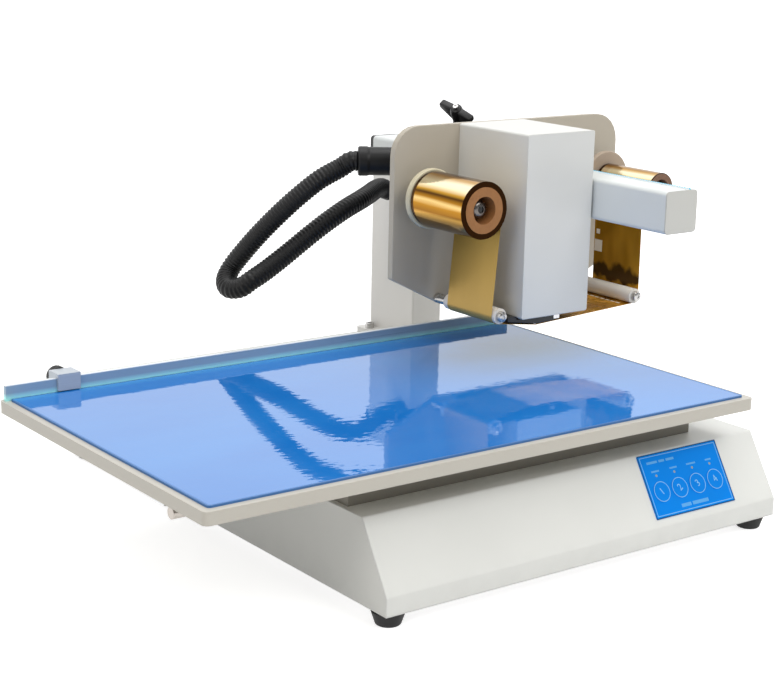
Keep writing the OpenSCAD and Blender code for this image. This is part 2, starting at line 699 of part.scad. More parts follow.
module x_pinion() color("silver") {
    translate([base_x, table_cy, rack_z + 1]) rotate([0, 0, 90]) linear_extrude(8) polygon(gear_pts(x_module, x_teeth, 0.05));
    rod_z(base_x, table_cy, motor_shaft_d, deck - shell_t - x_motor_l + 7, rack_z + 2);
    rod_z(base_x, table_cy, 14, rack_z - 5, rack_z + 2);
}

module table_plate() color("#cbc6ba") difference() {
    union() {
        slab(rect_r(table_x0, table_y0, table_x1, table_y1, table_corner_r), table_under, table_top);
        difference() {
            slab(rect_r(table_x0, table_y0, table_x1, table_y1, table_corner_r), table_top - rim_h, table_under + EPS);
            slab(rect_r(table_x0 + rim_t, table_y0 + rim_t, table_x1 - rim_t, table_y1 - rim_t, max(0.5, table_corner_r - rim_t)),
                table_top - rim_h - 1, table_under + 1);
        }
    }
    for (x = fence_xs) rod_z(x, (fence_y0 + fence_y1) / 2, fence_screw_d, table_under - 1, table_top + 1);
}

module mat() color("dodgerblue")
    slab(rect_r(table_x0 + mat_border, table_y0 + mat_border, table_x1 - mat_border, fence_y0 - 0.5, 3), table_top, mat_top);

fence_xs = [for (i = [0:fence_screw_count - 1]) fence_x0 + 20 + i * (fence_x1 - fence_x0 - 40) / (fence_screw_count - 1)];

module fence() color("silver") difference() {
    bar([fence_x0, fence_y0, table_top], [fence_x1, fence_y1, fence_top]);
    for (x = fence_xs) rod_z(x, (fence_y0 + fence_y1) / 2, fence_screw_d, table_top - 1, table_top + 8);
}

module fence_screws() color("silver") for (x = fence_xs) {
    rod_z(x, (fence_y0 + fence_y1) / 2, fence_screw_d, table_under - 1, table_top + 8);
    rod_z(x, (fence_y0 + fence_y1) / 2, fence_screw_d + 2, table_under - 1.6, table_under);
}

module guide_rods() color("silver") for (k = [0, 1]) rod_x(rod_ys[k], rod_z, rod_d, k == 0 ? rod_x0 : bracket_x0, rod_x1);

module rod_brackets() color("lightgrey") {
    for (m = [0, 1], k = [0, 1]) difference() {
        let (x0 = m == 0 ? bracket_x0 : rod_x1 - bracket_inset_r - bracket_t, y = rod_ys[k], s = k == 0 ? 1 : -1)
            bar([x0, min(y - s * 12, y + s * 27), rod_z - rod_d / 2 - 1.5], [x0 + bracket_t, max(y - s * 12, y + s * 27), table_under]);
        rod_x(rod_ys[k], rod_z, rod_d, rod_x0 - 5, rod_x1 + 5);
    }
    bar([rod_x0 - 2, rod_ys[0] + rod_d / 2 + 1.5, table_under - 18], [bracket_x0 + EPS, rod_ys[0] + 27, table_under]);
}

module x_rack() color("silver") translate([base_x, x_pitch_y, rack_z]) linear_extrude(10)
    polygon(rack_pts(x_module, -floor(280 / PI / x_module), floor(90 / PI / x_module), 8, 0.05));

module stop_block() color("#d8d8d4") difference() {
    bar([stop_x - stop_w / 2, stop_y0, stop_low], [stop_x + stop_w / 2, stop_y1, stop_top]);
    bar([stop_x - stop_w / 2 - 1, fence_y0 - slide_gap, stop_low - 1], [stop_x + stop_w / 2 + 1, fence_y1 + slide_gap, fence_top + slide_gap]);
    rod_y(stop_x, thumb_z, thumb_screw_d + 2 * run_gap, fence_y1, stop_y1 + 1);
}

module thumb_screw() color("#222222") {
    rod_y(stop_x, thumb_z, thumb_screw_d, fence_y1 + 0.1, thumb_y + 1);
    translate([stop_x, thumb_y + thumb_t, thumb_z]) rotate([90, 0, 0]) linear_extrude(thumb_t)
        polygon([for (i = [0:79]) (thumb_d / 2 - (i % 2) * 0.5) * [cos(4.5 * i), sin(4.5 * i)]]);
}

// ---- column and beam ----
module column() color("#c6c6c6") difference() {
    union() {
        slab(rect_r(beam_x0, column_y0, beam_x1, column_y1, 2), deck + EPS, beam_z0);
        slab(rect_r(beam_x0 - column_foot_reach, column_y0 - column_foot_reach + 3, beam_x1 + column_foot_reach, column_y1 + min(6, column_inset), 3),
            deck, deck + column_foot_t);
    }
    slab(rect_r(beam_x0 + beam_wall, column_y0 + beam_wall, beam_x1 - beam_wall, column_y1 - beam_wall, 1), deck - 1, beam_z0 + 1);
    for (p = bolt_xy) rod_z(p[0], p[1], column_bolt_d, deck - 1, deck + column_foot_t + 1);
    rod_x(gland_at[1], gland_at[2], gland_d - 6, beam_x0 - 1, beam_x0 + beam_wall + 1);
}

module column_bolts() color("silver") for (p = bolt_xy) {
    rod_z(p[0], p[1], column_bolt_d, deck - shell_t - 6, deck + column_foot_t + 1);
    difference() {
        rod_z(p[0], p[1], column_bolt_d + 4, deck + column_foot_t, deck + column_foot_t + column_bolt_d);
        translate([p[0], p[1], deck + column_foot_t + column_bolt_d / 2]) cylinder(h = column_bolt_d, d = column_bolt_d - 0.5, $fn = 6);
    }
    translate([p[0], p[1], deck - shell_t - 5]) cylinder(h = 5, d = column_bolt_d + 5, $fn = 6);
}

module beam() color("#e4e4e0") difference() {
    along_y(rect_r(beam_x0, beam_z0, beam_x1, beam_z1, beam_r), beam_y0, beam_y1);
    along_y(rect_r(beam_x0 + beam_wall, beam_z0 + beam_wall, beam_x1 - beam_wall, beam_z1 - beam_wall, 1), beam_y0 + 4, beam_y1 + 1);
    bar([strip_x - strip_w / 2, beam_y0 + 2, strip_z0], [strip_x + strip_w / 2, column_y0, beam_z1 + 1]);
}

module beam_rear_cap() color("#222222") {
    along_y(rect_r(beam_x0, beam_z0, beam_x1, beam_z1, beam_r), beam_y1, beam_y1 + cap_t);
    along_y(rect_r(beam_x0 + beam_wall, beam_z0 + beam_wall, beam_x1 - beam_wall, beam_z1 - beam_wall, 1), beam_y1 - 10, beam_y1 + EPS);
}

module drive_strip() color("lightblue") {
    n0 = -floor((y_motor_y - beam_y0 - 3) / PI / y_module);
    n1 = floor((column_y0 - y_motor_y - 1) / PI / y_module) - 1;
    translate([strip_x - strip_w / 2, y_motor_y, y_pitch_z]) rotate([90, 0, 90]) mirror([0, 1, 0]) linear_extrude(strip_w)
        polygon(rack_pts(y_module, n0, n1, strip_base, 0.05));
}

module column_gland() color("#222222") difference() {
    union() {
        rod_x(gland_at[1], gland_at[2], gland_d, gland_at[0] - gland_l, gland_at[0]);
        rod_x(gland_at[1], gland_at[2], gland_d - 6, gland_at[0] - 1, gland_at[0] + beam_wall);
    }
    rod_x(gland_at[1], gland_at[2], hose_bore, gland_at[0] - gland_l - 1, gland_at[0] + beam_wall + 1);
}

// ---- carriage ----
module carriage_block() color("#333333") {
    carriage_body();
    z_rails();
}

module carriage_body() difference() {
    union() {
        bar([car_x0, car_y1 - EPS, car_z0], [car_x1, car_y2, beam_z1 + carriage_wall]);
        bar([car_x0, car_y1 - EPS, beam_z1], [car_x1, y_motor_y + 16, car_z1]);
        bar([face_x0, car_y0, rear_z0], [face_x1, car_y1, rear_z1]);
    }
    bar([beam_x0 - slide_gap, car_y0 - 1, beam_z0 - slide_gap], [beam_x1 + slide_gap, car_y2 + 1, beam_z1 + slide_gap]);
    bar([strip_x - strip_w / 2 - 1.5, car_y0 - 1, beam_z1 - 1], [strip_x + strip_w / 2 + 1.5, car_y2 + 1, y_pitch_z + y_module + 1]);
    rod_x(y_motor_y, y_pinion_z, 2 * (y_r + y_module + 1), strip_x - strip_w / 2 - 1.5, strip_x + strip_w / 2 + 1.5);
    rod_x(y_motor_y, y_pinion_z, motor_shaft_d + 2 * run_gap, car_x0 - 1, strip_x + strip_w / 2 + 8);
}

module z_rails() for (s = [-1, 1]) let (x = beam_x + s * rail_span / 2)
    bar([x - rail_w / 2, car_y0 - rail_t, rear_z0], [x + rail_w / 2, car_y0, rear_z1 - 1]);

function rear_outline(t) = [[rear_x0 + t, car_y1 + t], [rear_x1 - t, car_y1 + t], [rear_x1 - t, rear_y1 - t],
    [rear_x0 + cut_dx + t * (cut_l - cut_dx) / cut_dy, rear_y1 - t], [rear_x0 + t, rear_y1 - cut_dy - t * (cut_l - cut_dy) / cut_dx]];

// What the slope at the rear of the carriage's cover takes off, t below its surface
module rear_slope(t) along_x([[rear_y1 - rear_run, rear_z1 - t], [rear_y1 + 1, rear_z1 - t - rear_drop * (rear_run + 1) / rear_run],
    [rear_y1 + 1, rear_z1 + 1], [rear_y1 - rear_run, rear_z1 + 1]], rear_x0 - 1, rear_x1 + 1);

module on_knob() translate(knob_at) rotate([0, knob_lean, 0]) rotate([knob_tilt, 0, 0]) children();

module carriage_cover() color("#444444") difference() {
    union() {
        difference() {
            slab(rounded(rear_outline(0), [1, 1, 4, 4, 4]), rear_z0, rear_z1);
            rear_slope(0);
        }
        on_knob() translate([0, 0, -20]) cylinder(h = 17, d = stud_d + 7);
    }
    difference() {
        slab(rounded(rear_outline(rear_cover_t), [0, 0, 2, 2, 2]), rear_z0 - 1, rear_z1 - rear_cover_t);
        rear_slope(rear_cover_t);
    }
    bar([car_x0 - 1, car_y1 - 1, rear_z0 - 1], [car_x1 + 1, car_y1 + rear_cover_t + 1, car_z1 + 1]);
    bar([beam_x0 - 2, rear_y1 - rear_cover_t - 1, beam_z0 - 2], [beam_x1 + 2, rear_y1 + 1, beam_z1 + 4]);
    on_knob() translate([0, 0, -8.5]) cylinder(h = 6, d = stud_d + 2 * run_gap);
    translate(fit_at) rotate([0, 0, fit_a]) rotate([0, 90, 0]) translate([0, 0, -8]) cylinder(h = 12, d = gland_d - 6);
}

module y_motor() color("#222222") difference() {
    along_x(rect_r(y_motor_y - y_motor_w / 2, y_pinion_z - y_motor_w / 2, y_motor_y + y_motor_w / 2, y_pinion_z + y_motor_w / 2, 3),
        car_x0 - y_motor_l, car_x0);
    rod_x(y_motor_y, y_pinion_z, motor_shaft_d + 2 * run_gap, car_x0 - y_motor_l + 6, car_x0 + 1);
}

module y_pinion() color("silver") {
    translate([strip_x - strip_w / 2 + slide_gap, y_motor_y, y_pinion_z]) rotate([90, 0, 90]) rotate([0, 0, -90])
        linear_extrude(strip_w - 2 * slide_gap) polygon(gear_pts(y_module, y_teeth, 0.05));
    rod_x(y_motor_y, y_pinion_z, motor_shaft_d, car_x0 - y_motor_l + 7, strip_x + strip_w / 2 + 7.5);
}

module hose_fitting() color("#222222") translate(fit_at) rotate([0, 0, fit_a]) rotate([0, 90, 0]) difference() {
    union() {
        rotate_extrude() polygon(concat([[0, 0], [fitting_d / 2, 0], [fitting_d / 2, fitting_l - 12], [fitting_d / 2 + 0.7, fitting_l - 9]],
            fillet([fitting_d / 2 + 0.7, fitting_l - 9], [fitting_d / 2 + 0.7, fitting_l], [0, fitting_l], 2), [[0, fitting_l]]));
        translate([0, 0, -rear_cover_t - 2]) cylinder(h = rear_cover_t + 3, d = gland_d - 6);
    }
    translate([0, 0, -rear_cover_t - 3]) cylinder(h = fitting_l + rear_cover_t + 6, d = hose_bore);
}

module wing_knob() color("#222222") on_knob() {
    translate([0, 0, -7.5]) cylinder(h = 31.5, d = stud_d);
    translate([0, 0, 0.3]) cylinder(h = 14, d1 = 11, d2 = 14);
    translate([0, 0, 14.3]) cylinder(h = 6.5, d1 = 14, d2 = 11.5);
    for (s = [-1, 1]) rotate([90, 0, 90]) translate([0, 0, -4]) linear_extrude(8)
        polygon(rounded([[s * 4, 1.2], [s * wing_span / 2, 12], [s * wing_span / 2, 18], [s * (wing_span / 2 - 8), 18], [s * 4, 20]],
            [0, 2, 2, 4, 0]));
}

// ---- hose ----
out = [cos(fit_a), sin(fit_a), 0];
hose_p = fit_at + fitting_l * out;
hose_q = gland_at - [gland_l, 0, 0];
guide = [hose_p - 8 * out, hose_p, hose_p + 8 * out - [0, 0, 0.8], [80, 151.5, 299.3], [59, 156.5, 288.6], [40.5, 166, 272.2],
    [24.8, 178.3, 253.4], [10.5, 191, 233.4], [-1.5, 203, 213.6], [-12.5, 212.5, 194.4], [-22.5, 207.5, 182.5], [-26.7, 194, 177.3],
    [-21.1, 181, 179.5], [-12.9, 173.7, 187.3], [5.3, 173.1, 196.6], [29.2, 172, 211.1], [50.9, 168.8, 226.4], [72.3, 165.8, 240.6],
    [96.2, 165.4, 253], [121, 172, 260.2], [142.5, 186, 262.8], [160, 198.8, 264.6], [174, 207, 264.4], hose_q - [10, 0.2, 0],
    hose_q, hose_q + [10, 0, 0]];

function spline(i, t) = let (a = guide[i - 1], b = guide[i], c = guide[i + 1], d = guide[i + 2])
    0.5 * (2 * b + (c - a) * t + (2 * a - 5 * b + 4 * c - d) * t * t + (3 * b - a - 3 * c + d) * t * t * t);

spans = len(guide) - 3;
function at(u) = let (k = min(spans - 1, floor(u * spans))) spline(k + 1, u * spans - k);

// Even spacing along the hose
fine = 400;
fine_pts = [for (i = [0:fine]) at(i / fine)];
function sums(i = 1, s = 0, acc = [0]) = i > fine ? acc
    : let (n = s + norm(fine_pts[i] - fine_pts[i - 1])) sums(i + 1, n, concat(acc, [n]));
run_len = sums();
hose_l = run_len[fine];
function seek(s, lo = 0, hi = fine) = hi - lo <= 1 ? lo + (s - run_len[lo]) / max(EPS, run_len[hi] - run_len[lo])
    : let (m = floor((lo + hi) / 2)) run_len[m] > s ? seek(s, lo, m) : seek(s, m, hi);
function along(s) = at(min(1, seek(min(s, hose_l)) / fine));

rings = 2 * rib_count + 1;
mids = [for (i = [0:rings - 1]) i == 0 ? hose_p : i == rings - 1 ? hose_q : along(hose_l * i / (rings - 1))];
dirs = [for (i = [0:rings - 1]) i == 0 ? out : i == rings - 1 ? [1, 0, 0] : unit(mids[i + 1] - mids[i - 1])];
function carry(i = 1, acc = [[0, 0, 1]]) = i >= rings ? acc
    : let (p = acc[i - 1], d = dirs[i]) carry(i + 1, concat(acc, [unit(p - (p * d) * d)]));
ups = carry();
sides = 8;
function ring(i, r) = [for (k = [0:sides - 1]) mids[i] + r * (cos(360 * k / sides) * ups[i] + sin(360 * k / sides) * cross(dirs[i], ups[i]))];
bore_step = 4;
bore_rings = [for (i = [0:rings - 1]) if (i % bore_step == 0 || i == rings - 1) i];

module hose() color("#1a1a1a") {
    nb = len(bore_rings);
    r1 = hose_d / 2; r0 = r1 - rib_depth;
    pts = concat([for (i = [0:rings - 1]) each ring(i, i == 0 || i == rings - 1 || i % 2 == 0 ? r0 : r1)],
        [for (i = bore_rings) each ring(i, hose_bore / 2)]);
    b = rings * sides;
    polyhedron(points = pts, faces = concat(
        [for (i = [0:rings - 2], k = [0:sides - 1]) each let (k2 = (k + 1) % sides)
            [[i * sides + k, i * sides + k2, (i + 1) * sides + k2], [i * sides + k, (i + 1) * sides + k2, (i + 1) * sides + k]]],
        [for (i = [0:nb - 2], k = [0:sides - 1]) each let (k2 = (k + 1) % sides)
            [[b + i * sides + k, b + (i + 1) * sides + k2, b + i * sides + k2], [b + i * sides + k, b + (i + 1) * sides + k, b + (i + 1) * sides + k2]]],
        [for (k = [0:sides - 1]) each let (k2 = (k + 1) % sides)
            [[k, b + k, b + k2], [k, b + k2, k2]]],
        [for (k = [0:sides - 1]) each let (k2 = (k + 1) % sides, e = (rings - 1) * sides, g = b + (nb - 1) * sides)
            [[e + k, e + k2, g + k2], [e + k, g + k2, g + k]]]));
}

// ---- head ----
module back_plate() color("#b3ae9e") difference() {
    along_y(rounded([[plate_x0, plate_z0 + corner_cut_h], [plate_x0 + corner_cut_w, plate_z0], [plate_x1 - corner_cut_w, plate_z0],
        [plate_x1, plate_z0 + corner_cut_h], [plate_x1, plate_z1], [plate_x0, plate_z1]], [3, 3, 3, 3, plate_r, plate_r]), plate_y, plate_y1);
    bar([beam_x0 - 2, plate_y - 1, beam_z0 - 3.5], [beam_x1 + 2, plate_y1 + 1, beam_z1 + lower_travel + 4.5]);
    for (p = [supply_at, takeup_at]) rod_y(p[0], p[1], bearing_d, plate_y - 1, plate_y1 + 1);
    for (x = roller_xs) rod_y(x, roller_z, roller_shaft_d, plate_y - 1, plate_y1 + 1);
}

module z_sliders() color("#555555") for (s = [-1, 1], z = slider_zs) let (x = beam_x + s * rail_span / 2) difference() {
    bar([x - slider_w / 2, plate_y1, z], [x + slider_w / 2, car_y0 - slide_gap, z + slider_h]);
    bar([x - rail_w / 2 - slide_gap, car_y0 - rail_t - slide_gap, z - 1], [x + rail_w / 2 + slide_gap, car_y0 + 1, z + slider_h + 1]);
}

module head_cover() color("#cdcfd0") difference() {
    along_y(rect_r(cover_x0, cover_z0, cover_x1, plate_z1, 2), cover_y0, plate_y);
    bar([cover_x0 + cover_t, cover_y0 + cover_t, cover_z0 - 1], [cover_x1 - cover_t, plate_y + 1, plate_z1 - cover_t]);
}

module press_frame() color("silver") difference() {
    union() {
        bar([tip_x - 20, foil_cy - 34, frame_z], [tip_x + 40, plate_y, frame_z + 10]);
        bar([tip_x - 20, plate_y - 6, frame_z + 9], [tip_x + 40, plate_y, frame_z + 50]);
    }
    for (y = [-24, 24]) rod_z(tip_x, foil_cy + y, pin_d + 2 * run_gap, frame_z - 1, frame_z + 11);
    rod_z(tip_x, foil_cy, plunger_d + 4, frame_z - 1, frame_z + 11);
}

module press_motor() color("#222222") {
    slab(rect_r(tip_x - 17, foil_cy - 14, tip_x + 17, foil_cy + 14, 3), frame_z + 10, frame_z + 55);
    rod_z(tip_x, foil_cy, plunger_d, roller_z + 2.5, frame_z + 11);
}

module head_holder() color("#1a1a1a") difference() {
    union() {
        along_y([[tip_x - 38, tip_z + 7], [tip_x - 6, tip_z + 5.7], [tip_x + 20, tip_z + 5.7], [tip_x + 20, tip_z + holder_top],
            [cover_x0 - 1.5, tip_z + holder_top], [cover_x0 - 1.5, tip_z + holder_top + 3], [tip_x - 38, tip_z + holder_top + 3]], web_y0 + 1, web_y1 - 1);
        for (y = [web_y0 - 3, web_y1 - 1]) along_y([[tip_x - 38, tip_z + 7], [tip_x - 1, tip_z + 1.4], [tip_x + 1, tip_z + 1.3], [tip_x + 20, tip_z + 2.1],
            [tip_x + 20, tip_z + holder_top], [cover_x0 - 1.5, tip_z + holder_top], [cover_x0 - 1.5, tip_z + holder_top + 3], [tip_x - 38, tip_z + holder_top + 3]], y, y + 4);
        bar([tip_x + stem_x0, foil_cy - 34, tip_z + holder_top - EPS], [tip_x + stem_x1, foil_cy + 34, stem_top]);
        for (y = [-24, 24]) rod_z(tip_x, foil_cy + y, pin_d, stem_top - 1, frame_z + 22);
    }
    rod_z(tip_x, foil_cy, plunger_d + 2 * run_gap, roller_z - 1, stem_top + 1);
}

module thermal_head() color("silver") {
    along_y([[tip_x - 6, tip_z + 3.5], [tip_x - 1.4, tip_z + 0.4], [tip_x, tip_z], [tip_x + 1.4, tip_z + 0.3],
        [tip_x + 20, tip_z + 2.6], [tip_x + 29, tip_z + 3.4], [tip_x + 29, tip_z + 5.7], [tip_x - 6, tip_z + 5.7]], web_y0 + 1, web_y1 - 1);
    bar([tip_x + 20, web_y0 - 2, tip_z + 3.2], [tip_x + 28, web_y1 + 2, tip_z + holder_top]);
}

module spindle_bearings() color("silver") for (p = [supply_at, takeup_at]) difference() {
    union() {
        rod_y(p[0], p[1], bearing_d, plate_y - 1, plate_y1 + 6);
        rod_y(p[0], p[1], bearing_d + 3, plate_y - 2, plate_y);
    }
    rod_y(p[0], p[1], tail_d + 2 * run_gap, plate_y - 3, plate_y1 + 7);
}

module takeup_motor() color("#222222") difference() {
    along_y(rect_r(takeup_at[0] - takeup_motor_r, takeup_at[1] - takeup_motor_r, takeup_at[0] + takeup_motor_r, takeup_at[1] + takeup_motor_r, 3),
        plate_y1, plate_y1 + 32);
    rod_y(takeup_at[0], takeup_at[1], bearing_d, plate_y1 - 1, plate_y1 + 6);
    rod_y(takeup_at[0], takeup_at[1], tail_d + 2 * run_gap, plate_y1 - 1, plate_y1 + 26);
}

module roller_shafts() color("silver") for (x = roller_xs) {
    rod_y(x, roller_z, roller_shaft_d, roller_y0 - 1, plate_y1);
    rod_y(x, roller_z, roller_shaft_d + 4, roller_y0 - 3, roller_y0 - 0.2);
    rod_y(x, roller_z, roller_shaft_d + 4, roller_y1 + 0.2, plate_y);
}

module roller(x) color("white") difference() {
    rod_y(x, roller_z, roller_d, roller_y0, roller_y1);
    rod_y(x, roller_z, roller_shaft_d + 2 * run_gap, roller_y0 - 1, roller_y1 + 1);
}
module left_roller() roller(roller_xs[0]);
module right_roller() roller(roller_xs[1]);

// One spindle: tail, collar, flange, shoulder for the core and a domed end
module spindle(at, bore, tail_y) {
    translate([at[0], 0, at[1]]) rotate([90, 0, 0]) translate([0, 0, -tail_y]) rotate_extrude() polygon(concat(
        [[0, 0], [tail_d / 2, 0], [tail_d / 2, tail_y - plate_y + 2.2], [10, tail_y - plate_y + 2.2], [10, tail_y - flange_y1],
         [flange_d / 2 - 1, tail_y - flange_y1], [flange_d / 2, tail_y - flange_y1 + 1], [flange_d / 2, tail_y - flange_y0 - 1],
         [flange_d / 2 - 1, tail_y - flange_y0], [bore / 2, tail_y - flange_y0], [bore / 2, tail_y - foil_cy], [spindle_d / 2, tail_y - foil_cy]],
        [for (i = [0:8]) [spindle_d / 2 * cos(90 * i / 8), tail_y - spindle_tip_y - 3 + 3 * sin(90 * i / 8)]]));
}
module supply_spindle() color("#e2dccb") spindle(supply_at, core_bore, plate_y1 + 12);
module takeup_spindle() color("#e2dccb") spindle(takeup_at, taken_bore, plate_y1 + 25);

module tube_y(at, d_out, d_in, y0, y1) difference() {
    rod_y(at[0], at[1], d_out, y0, y1);
    rod_y(at[0], at[1], d_in, y0 - 1, y1 + 1);
}
module supply_core() color("#8a6a45") tube_y(supply_at, core_d, core_bore, foil_y0 - 0.5, flange_y0);
module foil_roll() color("#c89a3c") tube_y(supply_at, roll_d, core_d, foil_y0, foil_y1);
module takeup_core() color("#8a6a45") tube_y(takeup_at, taken_core_d, taken_bore, foil_y0 - 0.5, flange_y0);
module takeup_roll() color("#c89a3c") tube_y(takeup_at, taken_d, taken_core_d, foil_y0, foil_y1);

// Foil path: supply roll, left roller, print head, right roller, take-up
roll_r = roll_d / 2 + foil_gap + foil_t / 2;
take_r = taken_d / 2 + foil_gap + foil_t / 2;
guide_r = roller_d / 2 + foil_gap + foil_t / 2;
pa = touch(supply_at, -roll_r, [roller_xs[0], roller_z], guide_r);
pb = touch([roller_xs[0], roller_z], guide_r, [tip_x, tip_z + 1], 1 + foil_gap + foil_t / 2);
pc = touch([tip_x, tip_z + 1], 1 + foil_gap + foil_t / 2, [roller_xs[1], roller_z], guide_r);
pd = touch([roller_xs[1], roller_z], guide_r, takeup_at, -take_r);
wrap_l = arc([roller_xs[0], roller_z], guide_r, pa[2] - 90, pb[2] - 90, 12);
wrap_r = arc([roller_xs[1], roller_z], guide_r, pc[2] - 90, pd[2] - 90, 12);

// Ribbon of the foil's thickness along a path of X and Z
module ribbon(path) {
    n = len(path) - 1;
    d = [for (i = [0:n]) unit(path[min(n, i + 1)] - path[max(0, i - 1)])];
    along_y(concat([for (i = [0:n]) path[i] + foil_t / 2 * [-d[i][1], d[i][0]]],
        [for (i = [n:-1:0]) path[i] - foil_t / 2 * [-d[i][1], d[i][0]]]), web_y0, web_y1);
}

module foil_web() color("#c89a3c") {
    ribbon(concat([pa[0]], wrap_l));
    ribbon(concat(wrap_r, [pd[1]]));
}

module foil_span() color("#c89a3c") {
    e = 0.05;
    ribbon(concat([pb[0] + e * unit(pb[1] - pb[0])], arc([tip_x, tip_z + 1], 1 + foil_gap + foil_t / 2, pb[2] - 90, pc[2] - 90, 4),
        [pc[1] - e * unit(pc[1] - pc[0])]));
}

echo(hose_length = hose_l, tip = [tip_x, tip_z], base_width = base_w);

base_shell();
bottom_plate();
feet();
foot_screws();
keypad();
status_lamps();
circuit_boards();
power_supply();
rear_sockets();
slide_bed();
bearing_blocks();
x_motor();
column();
column_bolts();
beam();
beam_rear_cap();
drive_strip();
column_gland();
hose();
table_plate();
mat();
fence();
fence_screws();
guide_rods();
rod_brackets();
x_rack();
stop_block();
thumb_screw();
carriage_block();
carriage_cover();
y_motor();
hose_fitting();
y_pinion();
x_pinion();
wing_knob();
back_plate();
z_sliders();
head_cover();
press_frame();
press_motor();
spindle_bearings();
takeup_motor();
roller_shafts();
foil_web();
foil_span();
head_holder();
thermal_head();
supply_spindle();
supply_core();
foil_roll();
takeup_spindle();
takeup_core();
takeup_roll();
left_roller();
right_roller();
rocker();
key_1();
key_2();
key_3();
key_4();
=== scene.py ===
"""Looks of a desktop hot foil printer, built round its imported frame. Metres; X right, Y back, Z up."""
import math

import bpy
from mathutils import Matrix, Vector


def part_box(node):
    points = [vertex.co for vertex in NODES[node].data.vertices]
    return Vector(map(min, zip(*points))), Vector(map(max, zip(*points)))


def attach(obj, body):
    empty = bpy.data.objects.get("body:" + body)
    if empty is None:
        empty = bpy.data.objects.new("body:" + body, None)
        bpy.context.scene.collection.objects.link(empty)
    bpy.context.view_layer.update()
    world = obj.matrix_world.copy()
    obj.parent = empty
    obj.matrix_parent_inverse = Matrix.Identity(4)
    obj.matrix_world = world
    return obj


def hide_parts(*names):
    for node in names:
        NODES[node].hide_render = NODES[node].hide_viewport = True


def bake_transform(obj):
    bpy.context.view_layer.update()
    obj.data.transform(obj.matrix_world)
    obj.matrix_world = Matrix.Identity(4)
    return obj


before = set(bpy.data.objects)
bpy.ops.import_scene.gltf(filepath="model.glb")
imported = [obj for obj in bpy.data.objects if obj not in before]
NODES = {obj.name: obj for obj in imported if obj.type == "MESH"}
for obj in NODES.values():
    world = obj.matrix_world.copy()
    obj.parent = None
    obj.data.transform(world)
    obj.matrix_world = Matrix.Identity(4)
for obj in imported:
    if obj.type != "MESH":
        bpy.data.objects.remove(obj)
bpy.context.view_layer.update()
bpy.context.scene.view_settings.view_transform = "Standard"

# ---- Camera ----
# A long lens on a tripod at the machine's left front corner, a little above its head. Its view is 779 pixels
# wide, and the lens's length and its slight sideways shift are counted in the same pixels.
IMAGE_WIDTH, FOCAL_LENGTH, SIDE_SHIFT = 779, 1750, -1.9
SENSOR_WIDTH = 36
CAMERA_AT = Vector((-0.9417, -1.3144, 0.5558))
CAMERA_TURN, CAMERA_DROP, CAMERA_ROLL = math.radians(36.69), math.radians(13.65), math.radians(1.25)
bpy.ops.object.camera_add(location=CAMERA_AT)
camera = bpy.context.object
level = math.cos(CAMERA_DROP)
forward = Vector((math.sin(CAMERA_TURN) * level, math.cos(CAMERA_TURN) * level, -math.sin(CAMERA_DROP)))
flat_right = forward.cross(Vector((0, 0, 1))).normalized()
flat_up = flat_right.cross(forward)
right = flat_right * math.cos(CAMERA_ROLL) + flat_up * math.sin(CAMERA_ROLL)
up = flat_up * math.cos(CAMERA_ROLL) - flat_right * math.sin(CAMERA_ROLL)
camera.matrix_world = Matrix.Translation(CAMERA_AT) @ Matrix((right, up, -forward)).transposed().to_4x4()
camera.data.sensor_width = SENSOR_WIDTH
camera.data.lens = SENSOR_WIDTH * (FOCAL_LENGTH / IMAGE_WIDTH)
camera.data.shift_x = SIDE_SHIFT / IMAGE_WIDTH
bpy.context.scene.camera = camera


# ---- Hose ----
# Black corrugated nylon conduit of 21 mm that carries the head's cables. It leaves a gland on the column,
# loops out to the left under its own stiffness and ends in the fitting on the carriage.
class Value:
    """One output in a shader, so that shader maths reads as an expression."""

    def __init__(self, graph, socket):
        self.graph, self.socket = graph, socket

    def maths(self, operation, *others):
        return self.graph.add("ShaderNodeMath", {"operation": operation}, self, *others)

    def __add__(self, other):
        return self.maths("ADD", other)

    __radd__ = __add__

    def __sub__(self, other):
        return self.maths("SUBTRACT", other)

    def __rsub__(self, other):
        return self.graph.add("ShaderNodeMath", {"operation": "SUBTRACT"}, other, self)

    def __mul__(self, other):
        return self.maths("MULTIPLY", other)

    __rmul__ = __mul__

    def __truediv__(self, other):
        return self.maths("DIVIDE", other)

    def above(self, other):
        return self.maths("GREATER_THAN", other)

    def below(self, other):
        return self.maths("LESS_THAN", other)

    def least(self, other):
        return self.maths("MINIMUM", other)

    def most(self, other):
        return self.maths("MAXIMUM", other)

    def power(self, other):
        return self.maths("POWER", other)

    def sine(self):
        return self.maths("SINE")

    def ramp(self, low, high, to_low=0.0, to_high=1.0):
        return self.graph.add("ShaderNodeMapRange", {"clamp": True}, self, low, high, to_low, to_high)


